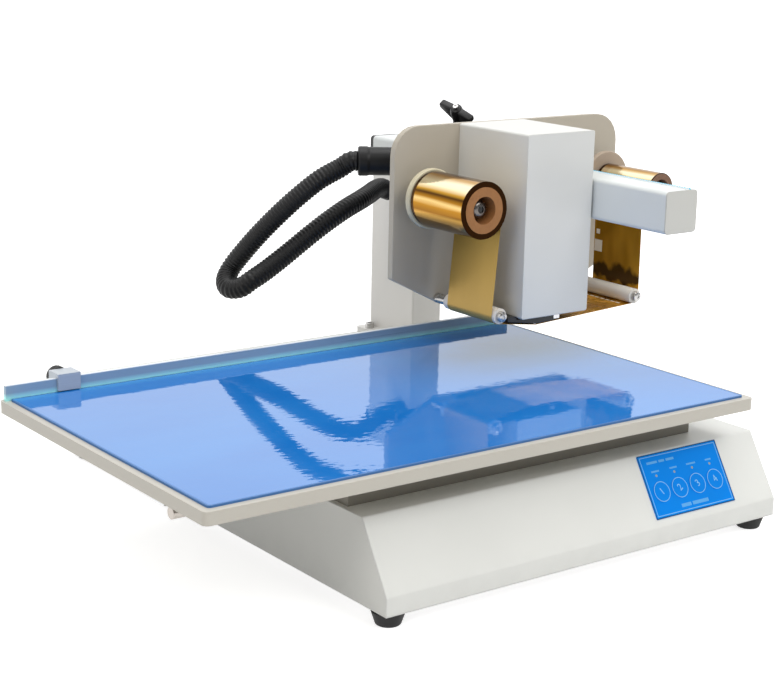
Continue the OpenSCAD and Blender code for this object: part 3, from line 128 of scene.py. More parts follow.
class Graph:
    """The nodes of one shader, and the one way they are added."""

    def __init__(self, tree):
        self.tree = tree

    def link(self, value, socket):
        if isinstance(value, Value):
            self.tree.links.new(value.socket, socket)
        elif value is not None:
            socket.default_value = value

    def add(self, kind, settings, *inputs, out=0, **named):
        node = self.tree.nodes.new(kind)
        for key, value in settings.items():
            if key == "stops":
                self.set_stops(node.color_ramp.elements, value)
            else:
                setattr(node, key, value)
        for index, value in enumerate(inputs):
            self.link(value, node.inputs[index])
        for key, value in named.items():
            self.link(value, node.inputs[key])
        return Value(self, node.outputs[out])

    def set_stops(self, marks, stops):
        """A new ramp has two stops, and the rest are made."""
        for index, (share, color) in enumerate(stops):
            mark = marks[index] if index < 2 else marks.new(share)
            mark.position = share
            mark.color = color

    def place(self, scale=(1, 1, 1), at=(0, 0, 0), turn=(0, 0, 0)):
        """Object coordinates, moved so that at is the middle, then turned and stretched."""
        coords = self.add("ShaderNodeTexCoord", {}, out="Object")
        moved = self.add("ShaderNodeVectorMath", {"operation": "SUBTRACT"}, coords, tuple(at))
        return self.add("ShaderNodeMapping", {}, Vector=moved, Rotation=turn, Scale=scale)

    def noise(self, scale, detail=2.0, stretch=(1, 1, 1), rough=0.5):
        return self.add("ShaderNodeTexNoise", {}, Vector=self.place(stretch), Scale=scale, Detail=detail,
                        Roughness=rough)

    def axis(self, name, vector=None):
        return self.add("ShaderNodeSeparateXYZ", {}, vector or self.place(), out=name)

    def mix(self, factor, one, two):
        colors = [color if isinstance(color, Value) else (*color, 1) for color in (one, two)]
        return self.add("ShaderNodeMix", {"data_type": "RGBA"}, factor, *[None] * 5, *colors, out=2)

    def bands(self, factor, stops):
        """Colours one above the other, each at its share of the factor."""
        colors = [(share, (*tone(code), 1)) for share, code in stops]
        return self.add("ShaderNodeValToRGB", {"stops": colors}, factor)


class Finish(Graph):
    """A material with one Principled shader."""

    def __init__(self, name, color, roughness=0.5, metallic=0.0):
        self.material = bpy.data.materials.new(name)
        self.material.use_nodes = True
        super().__init__(self.material.node_tree)
        self.shader = self.tree.nodes["Principled BSDF"]
        self.set("Base Color", (*color, 1))
        self.set("Roughness", roughness)
        self.set("Metallic", metallic)

    def set(self, name, value):
        self.link(value, self.shader.inputs[name])

    def bump(self, height, strength, distance, under=None):
        bumped = self.add("ShaderNodeBump", {}, Strength=strength, Distance=distance, Height=height,
                          Normal=under)
        self.set("Normal", bumped)


def tone(code):
    """Linear colour of a hex code."""
    parts = [int(code[i:i + 2], 16) / 255 for i in (0, 2, 4)]
    return tuple(p / 12.92 if p <= 0.04045 else ((p + 0.055) / 1.055) ** 2.4 for p in parts)


def plastic(name, color, roughness=0.4, dirt=0.12, grain=1500, depth=0.00003):
    """Moulded plastic with a fine spark-eroded grain and faint cloudy wear."""
    finish = Finish(name, color, roughness)
    cloud = finish.noise(45, 3)
    finish.set("Base Color", finish.mix(cloud.ramp(0.3, 0.7), tuple(c * (1 - dirt) for c in color), color))
    finish.set("Roughness", cloud.ramp(0.3, 0.7, roughness - 0.05, roughness + 0.07))
    finish.bump(finish.noise(grain, 2), 0.3, depth)
    return finish


def blank(name, vertices, faces):
    """A mesh object at the origin."""
    mesh = bpy.data.meshes.new(name)
    mesh.from_pydata(vertices, [], faces)
    obj = bpy.data.objects.new(name, mesh)
    bpy.context.collection.objects.link(obj)
    return obj


def only(obj):
    """Select one object and nothing else."""
    bpy.ops.object.select_all(action="DESELECT")
    obj.select_set(True)
    bpy.context.view_layer.objects.active = obj


def smooth(obj, angle=35):
    only(obj)
    bpy.ops.object.shade_smooth_by_angle(angle=math.radians(angle))


def face_outward(obj):
    """Turn the front of every face to the outside."""
    only(obj)
    bpy.ops.object.mode_set(mode="EDIT")
    bpy.ops.mesh.select_all(action="SELECT")
    bpy.ops.mesh.normals_make_consistent(inside=False)
    bpy.ops.object.mode_set(mode="OBJECT")


def put_on(obj, finish, body=None, *nodes):
    """Give a piece its finish, its body and the nodes that it stands for."""
    obj.data.materials.clear()
    obj.data.materials.append(finish.material)
    if body:
        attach(obj, body)
    if nodes:
        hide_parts(*nodes)
    return obj


HOSE_DIAMETER, HOSE_VALLEY, HOSE_RIBS, HOSE_SIDES = 0.0212, 0.0009, 120, 20
RIB_SHAPE = (0.0, 0.25, 0.85, 1.0, 0.85, 0.25)
ROUTE_STEPS, CORD_STEPS, HEADING_REACH = 1200, 36, 0.004
HOSE_OUT = Vector((-0.8448, 0.5351, 0))
FITTING_AT = Vector((0.13383, 0.11647, 0.307))
HOSE_END = FITTING_AT + 0.046 * HOSE_OUT
HOSE_EXIT = Vector((0.195, 0.210, 0.260))
ROUTE_MM = (
    (80, 151.5, 299.3), (59, 156.5, 288.6), (40.5, 166, 272.2), (24.8, 178.3, 253.4),
    (10.5, 191, 233.4), (-1.5, 203, 213.6), (-12.5, 212.5, 194.4), (-22.5, 207.5, 182.5),
    (-26.7, 194, 177.3), (-21.1, 181, 179.5), (-12.9, 173.7, 187.3), (5.3, 173.1, 196.6),
    (29.2, 172, 211.1), (50.9, 168.8, 226.4), (72.3, 165.8, 240.6), (96.2, 165.4, 253),
    (121, 172, 260.2), (142.5, 186, 262.8), (160, 198.8, 264.6), (174, 207, 264.4))
hose_guide = [HOSE_END - 0.008 * HOSE_OUT, HOSE_END, HOSE_END + 0.008 * HOSE_OUT - Vector((0, 0, 0.0008))]
hose_guide += [Vector(point) / 1000 for point in ROUTE_MM]
hose_guide += [HOSE_EXIT - Vector((0.010, 0.0002, 0)), HOSE_EXIT, HOSE_EXIT + Vector((0.010, 0, 0))]


def through(points, share):
    """A point on the curve that runs through all but the first and last points."""
    spans = len(points) - 3
    k = min(spans - 1, int(share * spans))
    t = share * spans - k
    a, b, c, d = points[k:k + 4]
    square, cube = 2 * a - 5 * b + 4 * c - d, 3 * b - a - 3 * c + d
    return 0.5 * (2 * b + (c - a) * t + square * t * t + cube * t ** 3)


fine = [through(hose_guide, i / ROUTE_STEPS) for i in range(ROUTE_STEPS + 1)]
run = [0.0]
for here, there in zip(fine, fine[1:]):
    run.append(run[-1] + (there - here).length)
hose_length = run[-1]


def along_hose(distance):
    k = next((i for i in range(1, len(run)) if run[i] >= distance), len(run) - 1)
    return fine[k - 1].lerp(fine[k], (distance - run[k - 1]) / (run[k] - run[k - 1]))


# Each rib is a rounded ridge between two valleys, so the wall is swept with six rings to a rib.
hose_points, hose_faces = [], []
ring_count = HOSE_RIBS * len(RIB_SHAPE) + 1
up_now = Vector((0, 0, 1))
for ring in range(ring_count):
    reached = hose_length * ring / (ring_count - 1)
    middle = along_hose(min(hose_length, reached))
    ahead = along_hose(min(hose_length, reached + HEADING_REACH))
    behind = along_hose(max(0.0, reached - HEADING_REACH))
    heading = (ahead - behind).normalized()
    up_now = (up_now - up_now.dot(heading) * heading).normalized()
    side = heading.cross(up_now)
    radius = HOSE_DIAMETER / 2 - HOSE_VALLEY * (1 - RIB_SHAPE[ring % len(RIB_SHAPE)])
    for k in range(HOSE_SIDES):
        turn = 2 * math.pi * k / HOSE_SIDES
        hose_points.append(middle + radius * (math.cos(turn) * up_now + math.sin(turn) * side))
for ring in range(ring_count - 1):
    for k in range(HOSE_SIDES):
        a, b = ring * HOSE_SIDES + k, ring * HOSE_SIDES + (k + 1) % HOSE_SIDES
        hose_faces.append((a, b, b + HOSE_SIDES, a + HOSE_SIDES))
hose_faces.append(tuple(reversed(range(HOSE_SIDES))))
hose_faces.append(tuple(range((ring_count - 1) * HOSE_SIDES, ring_count * HOSE_SIDES)))
hose = blank("conduit", hose_points, hose_faces)
face_outward(hose)
smooth(hose, 60)
nylon = plastic("black_conduit_nylon", (0.008, 0.008, 0.0085), 0.4, 0.3, 900)
nylon.set("Specular IOR Level", 0.27)
put_on(hose, nylon)
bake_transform(hose)
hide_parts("hose")
hose_path = [tuple(along_hose(hose_length * (1 - i / CORD_STEPS))) for i in range(CORD_STEPS + 1)]


# ---- Studio ----
# A white sweep under soft boxes: one broad key in front, a fill on each side and a top light. The room is
# white to the eye and lights evenly. A mirror sees white behind the machine and above it, and a dim studio
# in front.
def area_light(name, at, toward, size, power, color=(1, 1, 1)):
    bpy.ops.object.light_add(type="AREA", location=at)
    light = bpy.context.object
    light.name = name
    light.data.shape = "RECTANGLE"
    light.data.size, light.data.size_y = size
    light.data.energy = power
    light.data.color = color
    light.rotation_euler = (Vector(toward) - Vector(at)).to_track_quat("-Z", "Y").to_euler()


area_light("key", (0.5, -2.15, 2.2), (0, 0, 0.12), (1.8, 1.2), 31, (1.0, 0.995, 0.98))
area_light("fill", (2.4, -0.6, 1.2), (0, 0, 0.15), (1.4, 1.4), 10)
area_light("side", (-2.1, -0.9, 1.9), (0, 0, 0.15), (1.2, 1.2), 17, (1.0, 0.96, 0.9))
area_light("top", (0.1, 0.3, 2.6), (0, 0, 0.1), (2.0, 1.6), 29)

ROOM_LIGHT = 0.46
FLOOR_SIZE, FLOOR_GLOW = 40, 0.72


def seen_by(graph, ray):
    """1 for rays of one kind, and 0 for the rest."""
    return graph.add("ShaderNodeLightPath", {}, out="Is %s Ray" % ray)


world = bpy.data.worlds.new("studio")
bpy.context.scene.world = world
world.use_nodes = True
sky = Graph(world.node_tree)
background = sky.tree.nodes["Background"]
sky.link((1, 1, 1, 1), background.inputs["Color"])
toward = sky.add("ShaderNodeTexCoord", {}, out="Generated")
mirrored = sky.axis("Y", toward).ramp(-0.15, 0.35, 0.22, 1.25).most(sky.axis("Z", toward).ramp(0.55, 0.85))
straight = seen_by(sky, "Camera").most(seen_by(sky, "Glossy") * mirrored).most(seen_by(sky, "Transmission"))
sky.link(straight.most(seen_by(sky, "Diffuse") * ROOM_LIGHT), background.inputs["Strength"])

bpy.ops.mesh.primitive_plane_add(size=FLOOR_SIZE)
floor = bpy.context.object
floor.name = "studio_floor"
paper = Finish("studio_paper", (0.68, 0.68, 0.68), 0.9)
paper.set("Specular IOR Level", 0.0)
reach = paper.add("ShaderNodeVectorMath", {"operation": "LENGTH"}, paper.place(), out=1)
# The glow shows only to the camera, a mirror or glass, and casts no light on the object.
direct = seen_by(paper, "Camera").most(seen_by(paper, "Glossy").most(seen_by(paper, "Transmission")))
glow = paper.add("ShaderNodeEmission", {}, Strength=direct * reach.ramp(0.9, 2.6, FLOOR_GLOW, 1.0))
both = paper.add("ShaderNodeAddShader", {}, Value(paper, paper.shader.outputs[0]), glow)
paper.link(both, paper.tree.nodes["Material Output"].inputs["Surface"])
floor.data.materials.append(paper.material)


# ---- Base shell ----
# Folded 1.5 mm sheet steel with an off-white baked powder coat: a lip, a sloping front and a flat top. The
# skin is slightly pebbled, painted lighter along the folds as a highlight, and darker towards the bottom.
def powder(name, color, roughness=0.42, pebble=900.0, depth=0.00004, dirt=0.05, low=None, edge=0.0006):
    finish = Finish(name, color, roughness)
    cloud = finish.noise(9, 3)
    dark = tuple(c * (1 - dirt) for c in color)
    light = tuple(min(1, c * (1 + dirt * 0.5)) for c in color)
    shade = finish.mix(cloud.ramp(0.15, 0.85), dark, light)
    if low:
        # Darker towards the bottom, broken up by noise.
        low_darkening = finish.axis("Z").ramp(low, low + 0.03, 0.35, 0.0) * finish.noise(60, 4).ramp(0.35, 0.75)
        shade = finish.mix(low_darkening, shade, tuple(c * 0.8 for c in color))
    finish.set("Roughness", cloud.ramp(0.1, 0.9, roughness - 0.07, roughness + 0.09))
    rounded = finish.add("ShaderNodeBevel", {"samples": 4}, Radius=edge)
    flat = finish.add("ShaderNodeNewGeometry", {}, out="Normal")
    facing = finish.add("ShaderNodeVectorMath", {"operation": "DOT_PRODUCT"}, rounded, flat, out=1)
    # Painted highlight: the colour is lighter along the rounded edges, where they catch the light.
    painted_edge_highlight = facing.ramp(0.86, 0.985, 0.55, 0.0) * finish.noise(35, 3).ramp(0.2, 0.6, 0.5, 1.0)
    finish.set("Base Color", finish.mix(painted_edge_highlight, shade, tuple(min(1, c * 1.35 + 0.02) for c in color)))
    finish.bump(finish.noise(pebble, 2), 0.25, depth, rounded)
    return finish


def dress(finish, *nodes):
    for node in nodes:
        mesh = NODES[node].data
        mesh.materials.clear()
        mesh.materials.append(finish.material)


dress(powder("off_white_powder", tone("E4E5E1"), 0.38, 1100, low=0.012, edge=0.0022), "base_shell")


# ---- Bare metal ----
# Milled, drawn and ground aluminium and steel, left bare or clear anodised: the guide rods, screws, racks,
# pinions and bearing blocks. Fine lines run along the cut. The slide bed under the table is a darker grey
# than the base, a painted shade for the shade under the table.
def drawn(name, color, roughness, along="X", metallic=1.0, depth=0.00002, edge=0.0004):
    finish = Finish(name, color, roughness, metallic)
    stretch = {"X": (4, 900, 900), "Y": (900, 4, 900), "Z": (900, 900, 4)}[along]
    lines = finish.noise(1, 3, stretch)
    finish.set("Roughness", lines.ramp(0.3, 0.7, roughness - 0.06, roughness + 0.1))
    finish.set("Base Color", finish.mix(lines.ramp(0.3, 0.7), tuple(c * 0.88 for c in color), color))
    rounded = finish.add("ShaderNodeBevel", {"samples": 4}, Radius=edge)
    finish.bump(lines, 0.15, depth, rounded)
    return finish


bright_steel = drawn("turned_steel", (0.56, 0.55, 0.54), 0.26, "Z")
dress(drawn("ground_rod", (0.5, 0.46, 0.42), 0.34), "guide_rods")
dress(bright_steel, "foot_screws", "column_bolts", "fence_screws", "x_pinion", "y_pinion", "x_rack",
      "bottom_plate", "spindle_bearings", "z_sliders")
dress(drawn("block_aluminium", (0.72, 0.73, 0.74), 0.35), "bearing_blocks", "rod_brackets", "power_supply",
      "press_frame")
# Painted shade: a darker grey than the base's paint stands for the shade under the table.
dress(powder("bed_shaded_grey", tone("8B877D"), 0.5, dirt=0.12), "slide_bed")

# ---- Feet ----
# Four tapered feet of black moulded rubber, dull and a little coarse. Each is held by a screw that goes up
# through the bottom plate.
dress(plastic("black_rubber", (0.009, 0.009, 0.0095), 0.66, 0.25, 700, 0.00006), "feet")

# ---- Key panel ----
# A printed blue polyester label over four short-travel keys: a light line round its edge, a ring and a number
# on each key, four lamp windows above them and plain bars where a panel carries its captions.
SLOPE, FRONT_Y, LIP_Z = math.atan2(57.5, 35), -0.280, 0.030
LABEL_X0, LABEL_X1, LABEL_S0, LABEL_S1 = 0.130, 0.230, 0.007, 0.066
KEY_S, KEY_XS = 0.0305, [0.180 + (i - 1.5) * 0.0226 for i in range(4)]
BAR_OUT, LINE_OUT, SHADOW_OUT, RING_OUT, NUMBER_OUT = 0.00084, 0.00082, 0.00081, 0.00142, 0.00146
INK_DEPTH = 0.00004


def on_slope(x, s, out):
    """A point on the sloping front: along X, up the slope and out of it."""
    rise, run_back = math.sin(SLOPE), math.cos(SLOPE)
    return Vector((x, FRONT_Y + s * run_back - out * rise, LIP_Z + s * rise + out * run_back))


def placed(obj, matrix):
    """Move a piece, and write the move into its mesh."""
    obj.matrix_world = matrix
    only(obj)
    bpy.ops.object.transform_apply(location=True, rotation=True, scale=True)
    return obj


def tilt_onto_slope(obj, x, s, out, spin=0.0):
    turn = Matrix.Rotation(SLOPE, 4, "X") @ Matrix.Rotation(spin, 4, "Z")
    return placed(obj, Matrix.Translation(on_slope(x, s, out)) @ turn)


def drawn_out(obj, way):
    """Draw a flat face out into a solid."""
    only(obj)
    bpy.ops.object.mode_set(mode="EDIT")
    bpy.ops.mesh.select_all(action="SELECT")
    bpy.ops.mesh.extrude_region_move(TRANSFORM_OT_translate={"value": way})
    bpy.ops.object.mode_set(mode="OBJECT")
    face_outward(obj)


def joined(name, parts):
    """Several meshes made one object."""
    only(parts[0])
    for part in parts:
        part.select_set(True)
    if len(parts) > 1:
        bpy.ops.object.join()
    obj = bpy.context.object
    obj.name = obj.data.name = name
    return obj


def label_film(name, color, roughness):
    finish = Finish(name, color, roughness)
    cloud = finish.noise(30, 3)
    finish.set("Base Color", finish.mix(cloud.ramp(0.3, 0.7), tuple(c * 0.94 for c in color), color))
    finish.set("Roughness", cloud.ramp(0.3, 0.7, roughness - 0.04, roughness + 0.06))
    finish.set("Specular IOR Level", 0.08)
    finish.bump(finish.noise(500, 2), 0.1, 0.00002)
    return finish


dress(label_film("label_blue", (0.0, 0.24, 0.84), 0.6), "keypad", "key_1", "key_2", "key_3", "key_4")
dress(label_film("lamp_window", tone("9AA8A0"), 0.25), "status_lamps")
ink = label_film("label_pale_ink", tone("86C6F4"), 0.5)
ink_soft = label_film("label_caption_ink", tone("62ADEC"), 0.5)
# Dark blue for a painted shadow round the label's border.
label_edge_shade = label_film("label_edge_painted_shadow", tone("1C4F7E"), 0.4)


def bar_mark(x0, s0, x1, s1, out=BAR_OUT):
    """A thin printed bar on the label."""
    bpy.ops.object.select_all(action="DESELECT")
    bpy.ops.mesh.primitive_plane_add(size=1)
    mark = bpy.context.object
    mark.scale = (x1 - x0, s1 - s0, 1)
    bpy.ops.object.transform_apply(scale=True)
    drawn_out(mark, (0, 0, INK_DEPTH))
    return tilt_onto_slope(mark, (x0 + x1) / 2, (s0 + s1) / 2, out)


def border(inset, wide, out):
    x0, x1, s0, s1 = LABEL_X0 + inset, LABEL_X1 - inset, LABEL_S0 + inset, LABEL_S1 - inset
    low, high = s0 + wide, s1 - wide
    return [bar_mark(x0, s0, x1, low, out), bar_mark(x0, high, x1, s1, out),
            bar_mark(x0, low, x0 + wide, high, out), bar_mark(x1 - wide, low, x1, high, out)]


def label_at(u, v):
    return LABEL_X0 + u * (LABEL_X1 - LABEL_X0), LABEL_S1 - v * (LABEL_S1 - LABEL_S0)


# Title and foot bars: where each starts and how long it is, as shares of the label, its height and thickness.
TITLE_BARS = ((0.09, 0.13, 0.138, 0.0022), (0.24, 0.07, 0.138, 0.0022), (0.33, 0.1, 0.138, 0.0022),
              (0.34, 0.12, 0.88, 0.0032), (0.48, 0.2, 0.88, 0.0032))
KEY_BARS = ((0.162, 0.0095), (0.388, 0.009), (0.612, 0.0115), (0.835, 0.0075))
KEY_BAR_V, KEY_BAR_HALF = 0.28, 0.0008
captions = []
for start, width, v, tall in TITLE_BARS:
    x, s = label_at(start, v)
    captions.append(bar_mark(x, s - tall / 2, x + width * 0.1, s + tall / 2))
for u, wide in KEY_BARS:
    x, s = label_at(u, KEY_BAR_V)
    captions.append(bar_mark(x - wide / 2, s - KEY_BAR_HALF, x + wide / 2, s + KEY_BAR_HALF))
put_on(joined("label_captions", captions), ink_soft, "frame")
put_on(joined("label_frame_line", border(0.0022, 0.0006, LINE_OUT)), ink, "frame")
# The painted shadow: a dark band round the label's border.
put_on(joined("label_border_shadow", border(0.0, 0.0009, SHADOW_OUT)), label_edge_shade, "frame")

for index, key_x in enumerate(KEY_XS):
    bpy.ops.object.select_all(action="DESELECT")
    bpy.ops.mesh.primitive_torus_add(major_radius=0.0091, minor_radius=0.00034, major_segments=64,
                                     minor_segments=8)
    ring = bpy.context.object
    ring.scale = (1, 1, 0.25)
    bpy.ops.object.transform_apply(scale=True)
    tilt_onto_slope(ring, key_x, KEY_S, RING_OUT)
    bpy.ops.object.select_all(action="DESELECT")
    bpy.ops.object.text_add()
    number = bpy.context.object
    number.data.body = str(index + 1)
    number.data.size, number.data.extrude = 0.0095, INK_DEPTH
    number.data.align_x, number.data.align_y = "CENTER", "CENTER"
    bpy.ops.object.convert(target="MESH")
    number = bpy.context.object
    tilt_onto_slope(number, key_x, KEY_S, NUMBER_OUT, math.radians(28))
    put_on(joined("key_face_%d" % (index + 1), [ring, number]), ink, "key_%d" % (index + 1))

# ---- Rear sockets ----
# A black mains inlet with three blades, a data socket with its tongue and a rocker switch, in the rear wall,
# which is held by six screws.
SOCKET_BLADES = ((-0.067, 0.0437), (-0.060, 0.0473), (-0.053, 0.0437))
REAR_SCREWS = [(x, z) for z in (0.075, 0.022) for x in (-0.162, 0.055, 0.272)]
REAR_Y = 0.278
SCREW_HEAD = ((0, 0.0032), (0.0009, 0.0031), (0.0016, 0.0024), (0.0017, 0.0012), (0.0012, 0.0011))
dress(plastic("socket_black", (0.016, 0.016, 0.017), 0.42, 0.2), "rear_sockets", "rocker", "beam_rear_cap")


def block(name, low, high, edge=0.0004, segments=2):
    """A rectangular piece with its edges rounded."""
    bpy.ops.object.select_all(action="DESELECT")
    bpy.ops.mesh.primitive_cube_add(size=1, location=[(a + b) / 2 for a, b in zip(low, high)])
    obj = bpy.context.object
    obj.name = obj.data.name = name
    obj.scale = [b - a for a, b in zip(low, high)]
    bpy.ops.object.transform_apply(location=True, rotation=True, scale=True)
    soften(obj, edge, segments)
    return obj


def soften(obj, edge, segments=2, angle=30):
    only(obj)
    bevel = obj.modifiers.new("soft edge", "BEVEL")
    bevel.width, bevel.segments = edge, segments
    bevel.limit_method, bevel.angle_limit = "ANGLE", math.radians(angle)
    bpy.ops.object.modifier_apply(modifier=bevel.name)
    smooth(obj)


def turned(name, stations, sides=48, at=(0, 0, 0), axis=(0, 0, 1)):
    """A piece turned on a lathe: (distance, radius) along its axis, drawn out one step at a time."""
    bpy.ops.object.select_all(action="DESELECT")
    first, radius = stations[0]
    bpy.ops.mesh.primitive_circle_add(vertices=sides, radius=radius, fill_type="NGON", location=(0, 0, first))
    obj = bpy.context.object
    obj.name = obj.data.name = name
    bpy.ops.object.transform_apply(location=True)
    bpy.ops.object.mode_set(mode="EDIT")
    bpy.ops.mesh.select_all(action="SELECT")
    for distance, wide in stations[1:]:
        bpy.ops.mesh.extrude_region_move(TRANSFORM_OT_translate={"value": (0, 0, distance - first)})
        if wide != radius:
            bpy.ops.transform.resize(value=(wide / radius, wide / radius, 1))
        first, radius = distance, wide
    bpy.ops.object.mode_set(mode="OBJECT")
    face_outward(obj)
    turn = Vector((0, 0, 1)).rotation_difference(Vector(axis)).to_matrix().to_4x4()
    placed(obj, Matrix.Translation(at) @ turn)
    smooth(obj)
    return obj


blades = [block("blade", (x - 0.0010, 0.264, z - 0.0028), (x + 0.0010, 0.2745, z + 0.0028), 0.0003)
          for x, z in SOCKET_BLADES]
blades.append(block("tongue", (-0.1077, 0.2695, 0.0466), (-0.1023, 0.2775, 0.0482), 0.0002))
put_on(joined("socket_blades", blades), drawn("plated_blade", (0.75, 0.7, 0.58), 0.25, "Y"), "frame")
plate_screws = [turned("rear_screw", SCREW_HEAD, 24, (x, REAR_Y, z), (0, 1, 0)) for x, z in REAR_SCREWS]
put_on(joined("rear_screws", plate_screws), bright_steel, "frame")

# ---- Boards and motors ----
# What the base and the head hold: a key board and a main board in green, and the black stepper motors of
# the table, the carriage, the press and the take-up.
dress(plastic("board_green", (0.02, 0.12, 0.05), 0.4), "circuit_boards")
dress(powder("motor_black", (0.018, 0.018, 0.019), 0.4, dirt=0.2), "x_motor", "y_motor", "press_motor",
      "takeup_motor")

# ---- Table ----
# A folded sheet pan in warm grey paint with a blue polished plastic mat bonded to it, so smooth that it
# mirrors the head. An aluminium bar screwed along its rear edge is the fence.
dress(powder("warm_grey_paint", tone("C2BEB4"), 0.36, edge=0.0009), "table_plate")

MAT_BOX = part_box("mat")
mat = Finish("mat_blue_gloss", tone("1F78CE"), 0.035)
mat.set("IOR", 1.9)
mat.set("Specular Tint", (0.86, 1.0, 1.0, 1))
smear = mat.noise(5, 4, (1, 2.2, 1))
mat_x, mat_y = mat.axis("X"), mat.axis("Y")
to_side = (mat_x - MAT_BOX[0][0]).least(MAT_BOX[1][0] - mat_x)
to_edge = to_side.least((mat_y - MAT_BOX[0][1]).least(MAT_BOX[1][1] - mat_y))
body_blue = mat.mix(smear.ramp(0.3, 0.7), tone("1A75CC"), tone("2480D4"))
rim_of_mat = to_edge.ramp(0.0016, 0.0026, 1.0, 0.0)
mat.set("Base Color", mat.mix(rim_of_mat, body_blue, tone("1560A6")))
mat.set("Roughness", smear.ramp(0.35, 0.7, 0.02, 0.05) + rim_of_mat * 0.5)
mat.bump(mat.noise(95, 1.5, (1, 1.5, 1)), 0.3, 0.00022)
dress(mat, "mat")

# Painted reflection and highlight: the face is painted greenish cyan where it meets the mat, as the mat's
# reflection, and blue-grey above, and the top is painted pale as if lit from above.
FENCE_REFLECTION_Z, FENCE_LIT_TOP_Z = (0.1332, 0.1380), (0.1441, 0.1448)
fence = drawn("fence_aluminium", (0.30, 0.40, 0.50), 0.32, metallic=0.25)
fence_z = fence.axis("Z")
painted_face_reflection = fence.mix(fence_z.ramp(*FENCE_REFLECTION_Z), tone("B4FFFF"), tone("95AFC4"))
fence.set("Base Color", fence.mix(fence_z.ramp(*FENCE_LIT_TOP_Z), painted_face_reflection, tone("E8EDF0")))
dress(fence, "fence")
dress(drawn("stop_aluminium", tone("BFC6CE"), 0.36, metallic=0.3, edge=0.0006), "stop_block")
knob_black = plastic("knob_black", (0.009, 0.009, 0.0095), 0.36, 0.2, 1200)
knob_black.set("Specular IOR Level", 0.35)
dress(knob_black, "thumb_screw")

# ---- Column and beam ----
# A rectangular tube bolted to the base through a foot plate, with a square extrusion across its top, both
# powder coated, and a toothed drive strip let into the beam's upper face.
dress(powder("column_grey", tone("EDEBE7"), 0.4, edge=0.0012), "column")
BEAM_END_Y, STRIP_LINE_X = -0.1868, 0.2416
beam_paint = powder("beam_white", tone("E0E4E4"), 0.34, edge=0.0015)
beam_side = beam_paint.mix(beam_paint.noise(9, 3), tone("D8DCDB"), tone("E0E4E4"))
beam_end = beam_paint.axis("Y").below(BEAM_END_Y)
beam_paint.set("Base Color", beam_paint.mix(beam_end, beam_side, tone("C8C8C3")))
dress(beam_paint, "beam")
strip = powder("strip_white", tone("E3EBEE"), 0.45, edge=0.0002)
blue_line = strip.axis("X").above(STRIP_LINE_X)
strip.set("Base Color", strip.mix(blue_line, tone("E3EBEE"), tone("55C4E2")))
dress(strip, "drive_strip")
dress(knob_black, "column_gland")
dress(nylon, "hose_fitting")

# ---- Carriage ----
# A machined block that slides along the beam, painted black, under a folded dark cover. A moulded black wing
# knob on top, with the end of its steel stud showing, clamps it.
dress(powder("black_paint", (0.018, 0.018, 0.019), 0.4, dirt=0.2), "carriage_block")
dress(powder("housing_dark", (0.03, 0.03, 0.032), 0.45, dirt=0.2), "carriage_cover")
KNOB_AT, KNOB_LEAN, KNOB_TILT = Vector((0.1867, 0.0924, 0.349)), math.radians(-39), math.radians(26.6)
HUB = ((0.0003, 0.0055), (0.0010, 0.0058), (0.0143, 0.0070), (0.0185, 0.0063), (0.0202, 0.0055),
       (0.0208, 0.0043))
STUD = ((0.019, 0.0029), (0.0232, 0.0029), (0.0239, 0.0024), (0.0238, 0.0013), (0.0228, 0.0011))
WING_OUTLINE, WING_THICK = ((0.004, 0.0012), (0.0205, 0.0120), (0.0205, 0.0180), (0.004, 0.0200)), 0.008


def on_knob(obj):
    turn = Matrix.Rotation(KNOB_LEAN, 4, "Y") @ Matrix.Rotation(KNOB_TILT, 4, "X")
    return placed(obj, Matrix.Translation(KNOB_AT) @ turn)


knob_parts = [on_knob(turned("knob_hub", HUB, 40))]
for side_of_hub in (-1, 1):
    bpy.ops.object.select_all(action="DESELECT")
    bpy.ops.mesh.primitive_plane_add(size=1, rotation=(0, math.pi / 2, 0))
    wing = bpy.context.object
    bpy.ops.object.transform_apply(rotation=True)
    around = sorted(wing.data.vertices, key=lambda v: math.atan2(v.co.z, v.co.y))
    for vertex, (y, z) in zip(around, WING_OUTLINE):
        vertex.co = (-WING_THICK / 2, side_of_hub * y, z)
    drawn_out(wing, (WING_THICK, 0, 0))
    soften(wing, 0.0019, 4)
    knob_parts.append(on_knob(wing))
put_on(joined("wing_knob_body", knob_parts), knob_black, "wing_knob", "wing_knob")
put_on(on_knob(turned("knob_stud", STUD, 24)), bright_steel, "wing_knob")

# ---- Head plate and cover ----
# A thick aluminium plate painted warm grey carries everything on the head. In front of it stands a folded
# pale grey cover over the print motor.
dress(powder("plate_warm_grey", tone("B7AFA0"), 0.4, edge=0.0012), "back_plate")
dress(powder("cover_pale_grey", tone("D9D9D5"), 0.33, 1300, edge=0.0014), "head_cover")
dress(powder("holder_black", (0.012, 0.012, 0.013), 0.35, dirt=0.2), "head_holder")
dress(drawn("head_substrate", (0.78, 0.78, 0.79), 0.3), "thermal_head")

# ---- Guide rollers ----
# White nylon rollers that turn on steel shafts in front of the back plate. A domed screw with a dimple in its
# head holds each roller on.
ROLLERS, ROLLER_SCREW_Y = ((0.101, 0.1875), (0.276, 0.1875)), -0.0883
DOMED_HEAD = ((0, 0.0049), (0.0008, 0.0050), (0.0018, 0.0045), (0.0024, 0.0032), (0.0025, 0.0018),
              (0.0016, 0.0016))
dress(plastic("white_nylon", tone("E6E0D6"), 0.38, 0.08), "left_roller", "right_roller")
dress(bright_steel, "roller_shafts")
for x, z in ROLLERS:
    put_on(turned("roller_screw", DOMED_HEAD, 32, (x, ROLLER_SCREW_Y, z), (0, -1, 0)), bright_steel, "head")

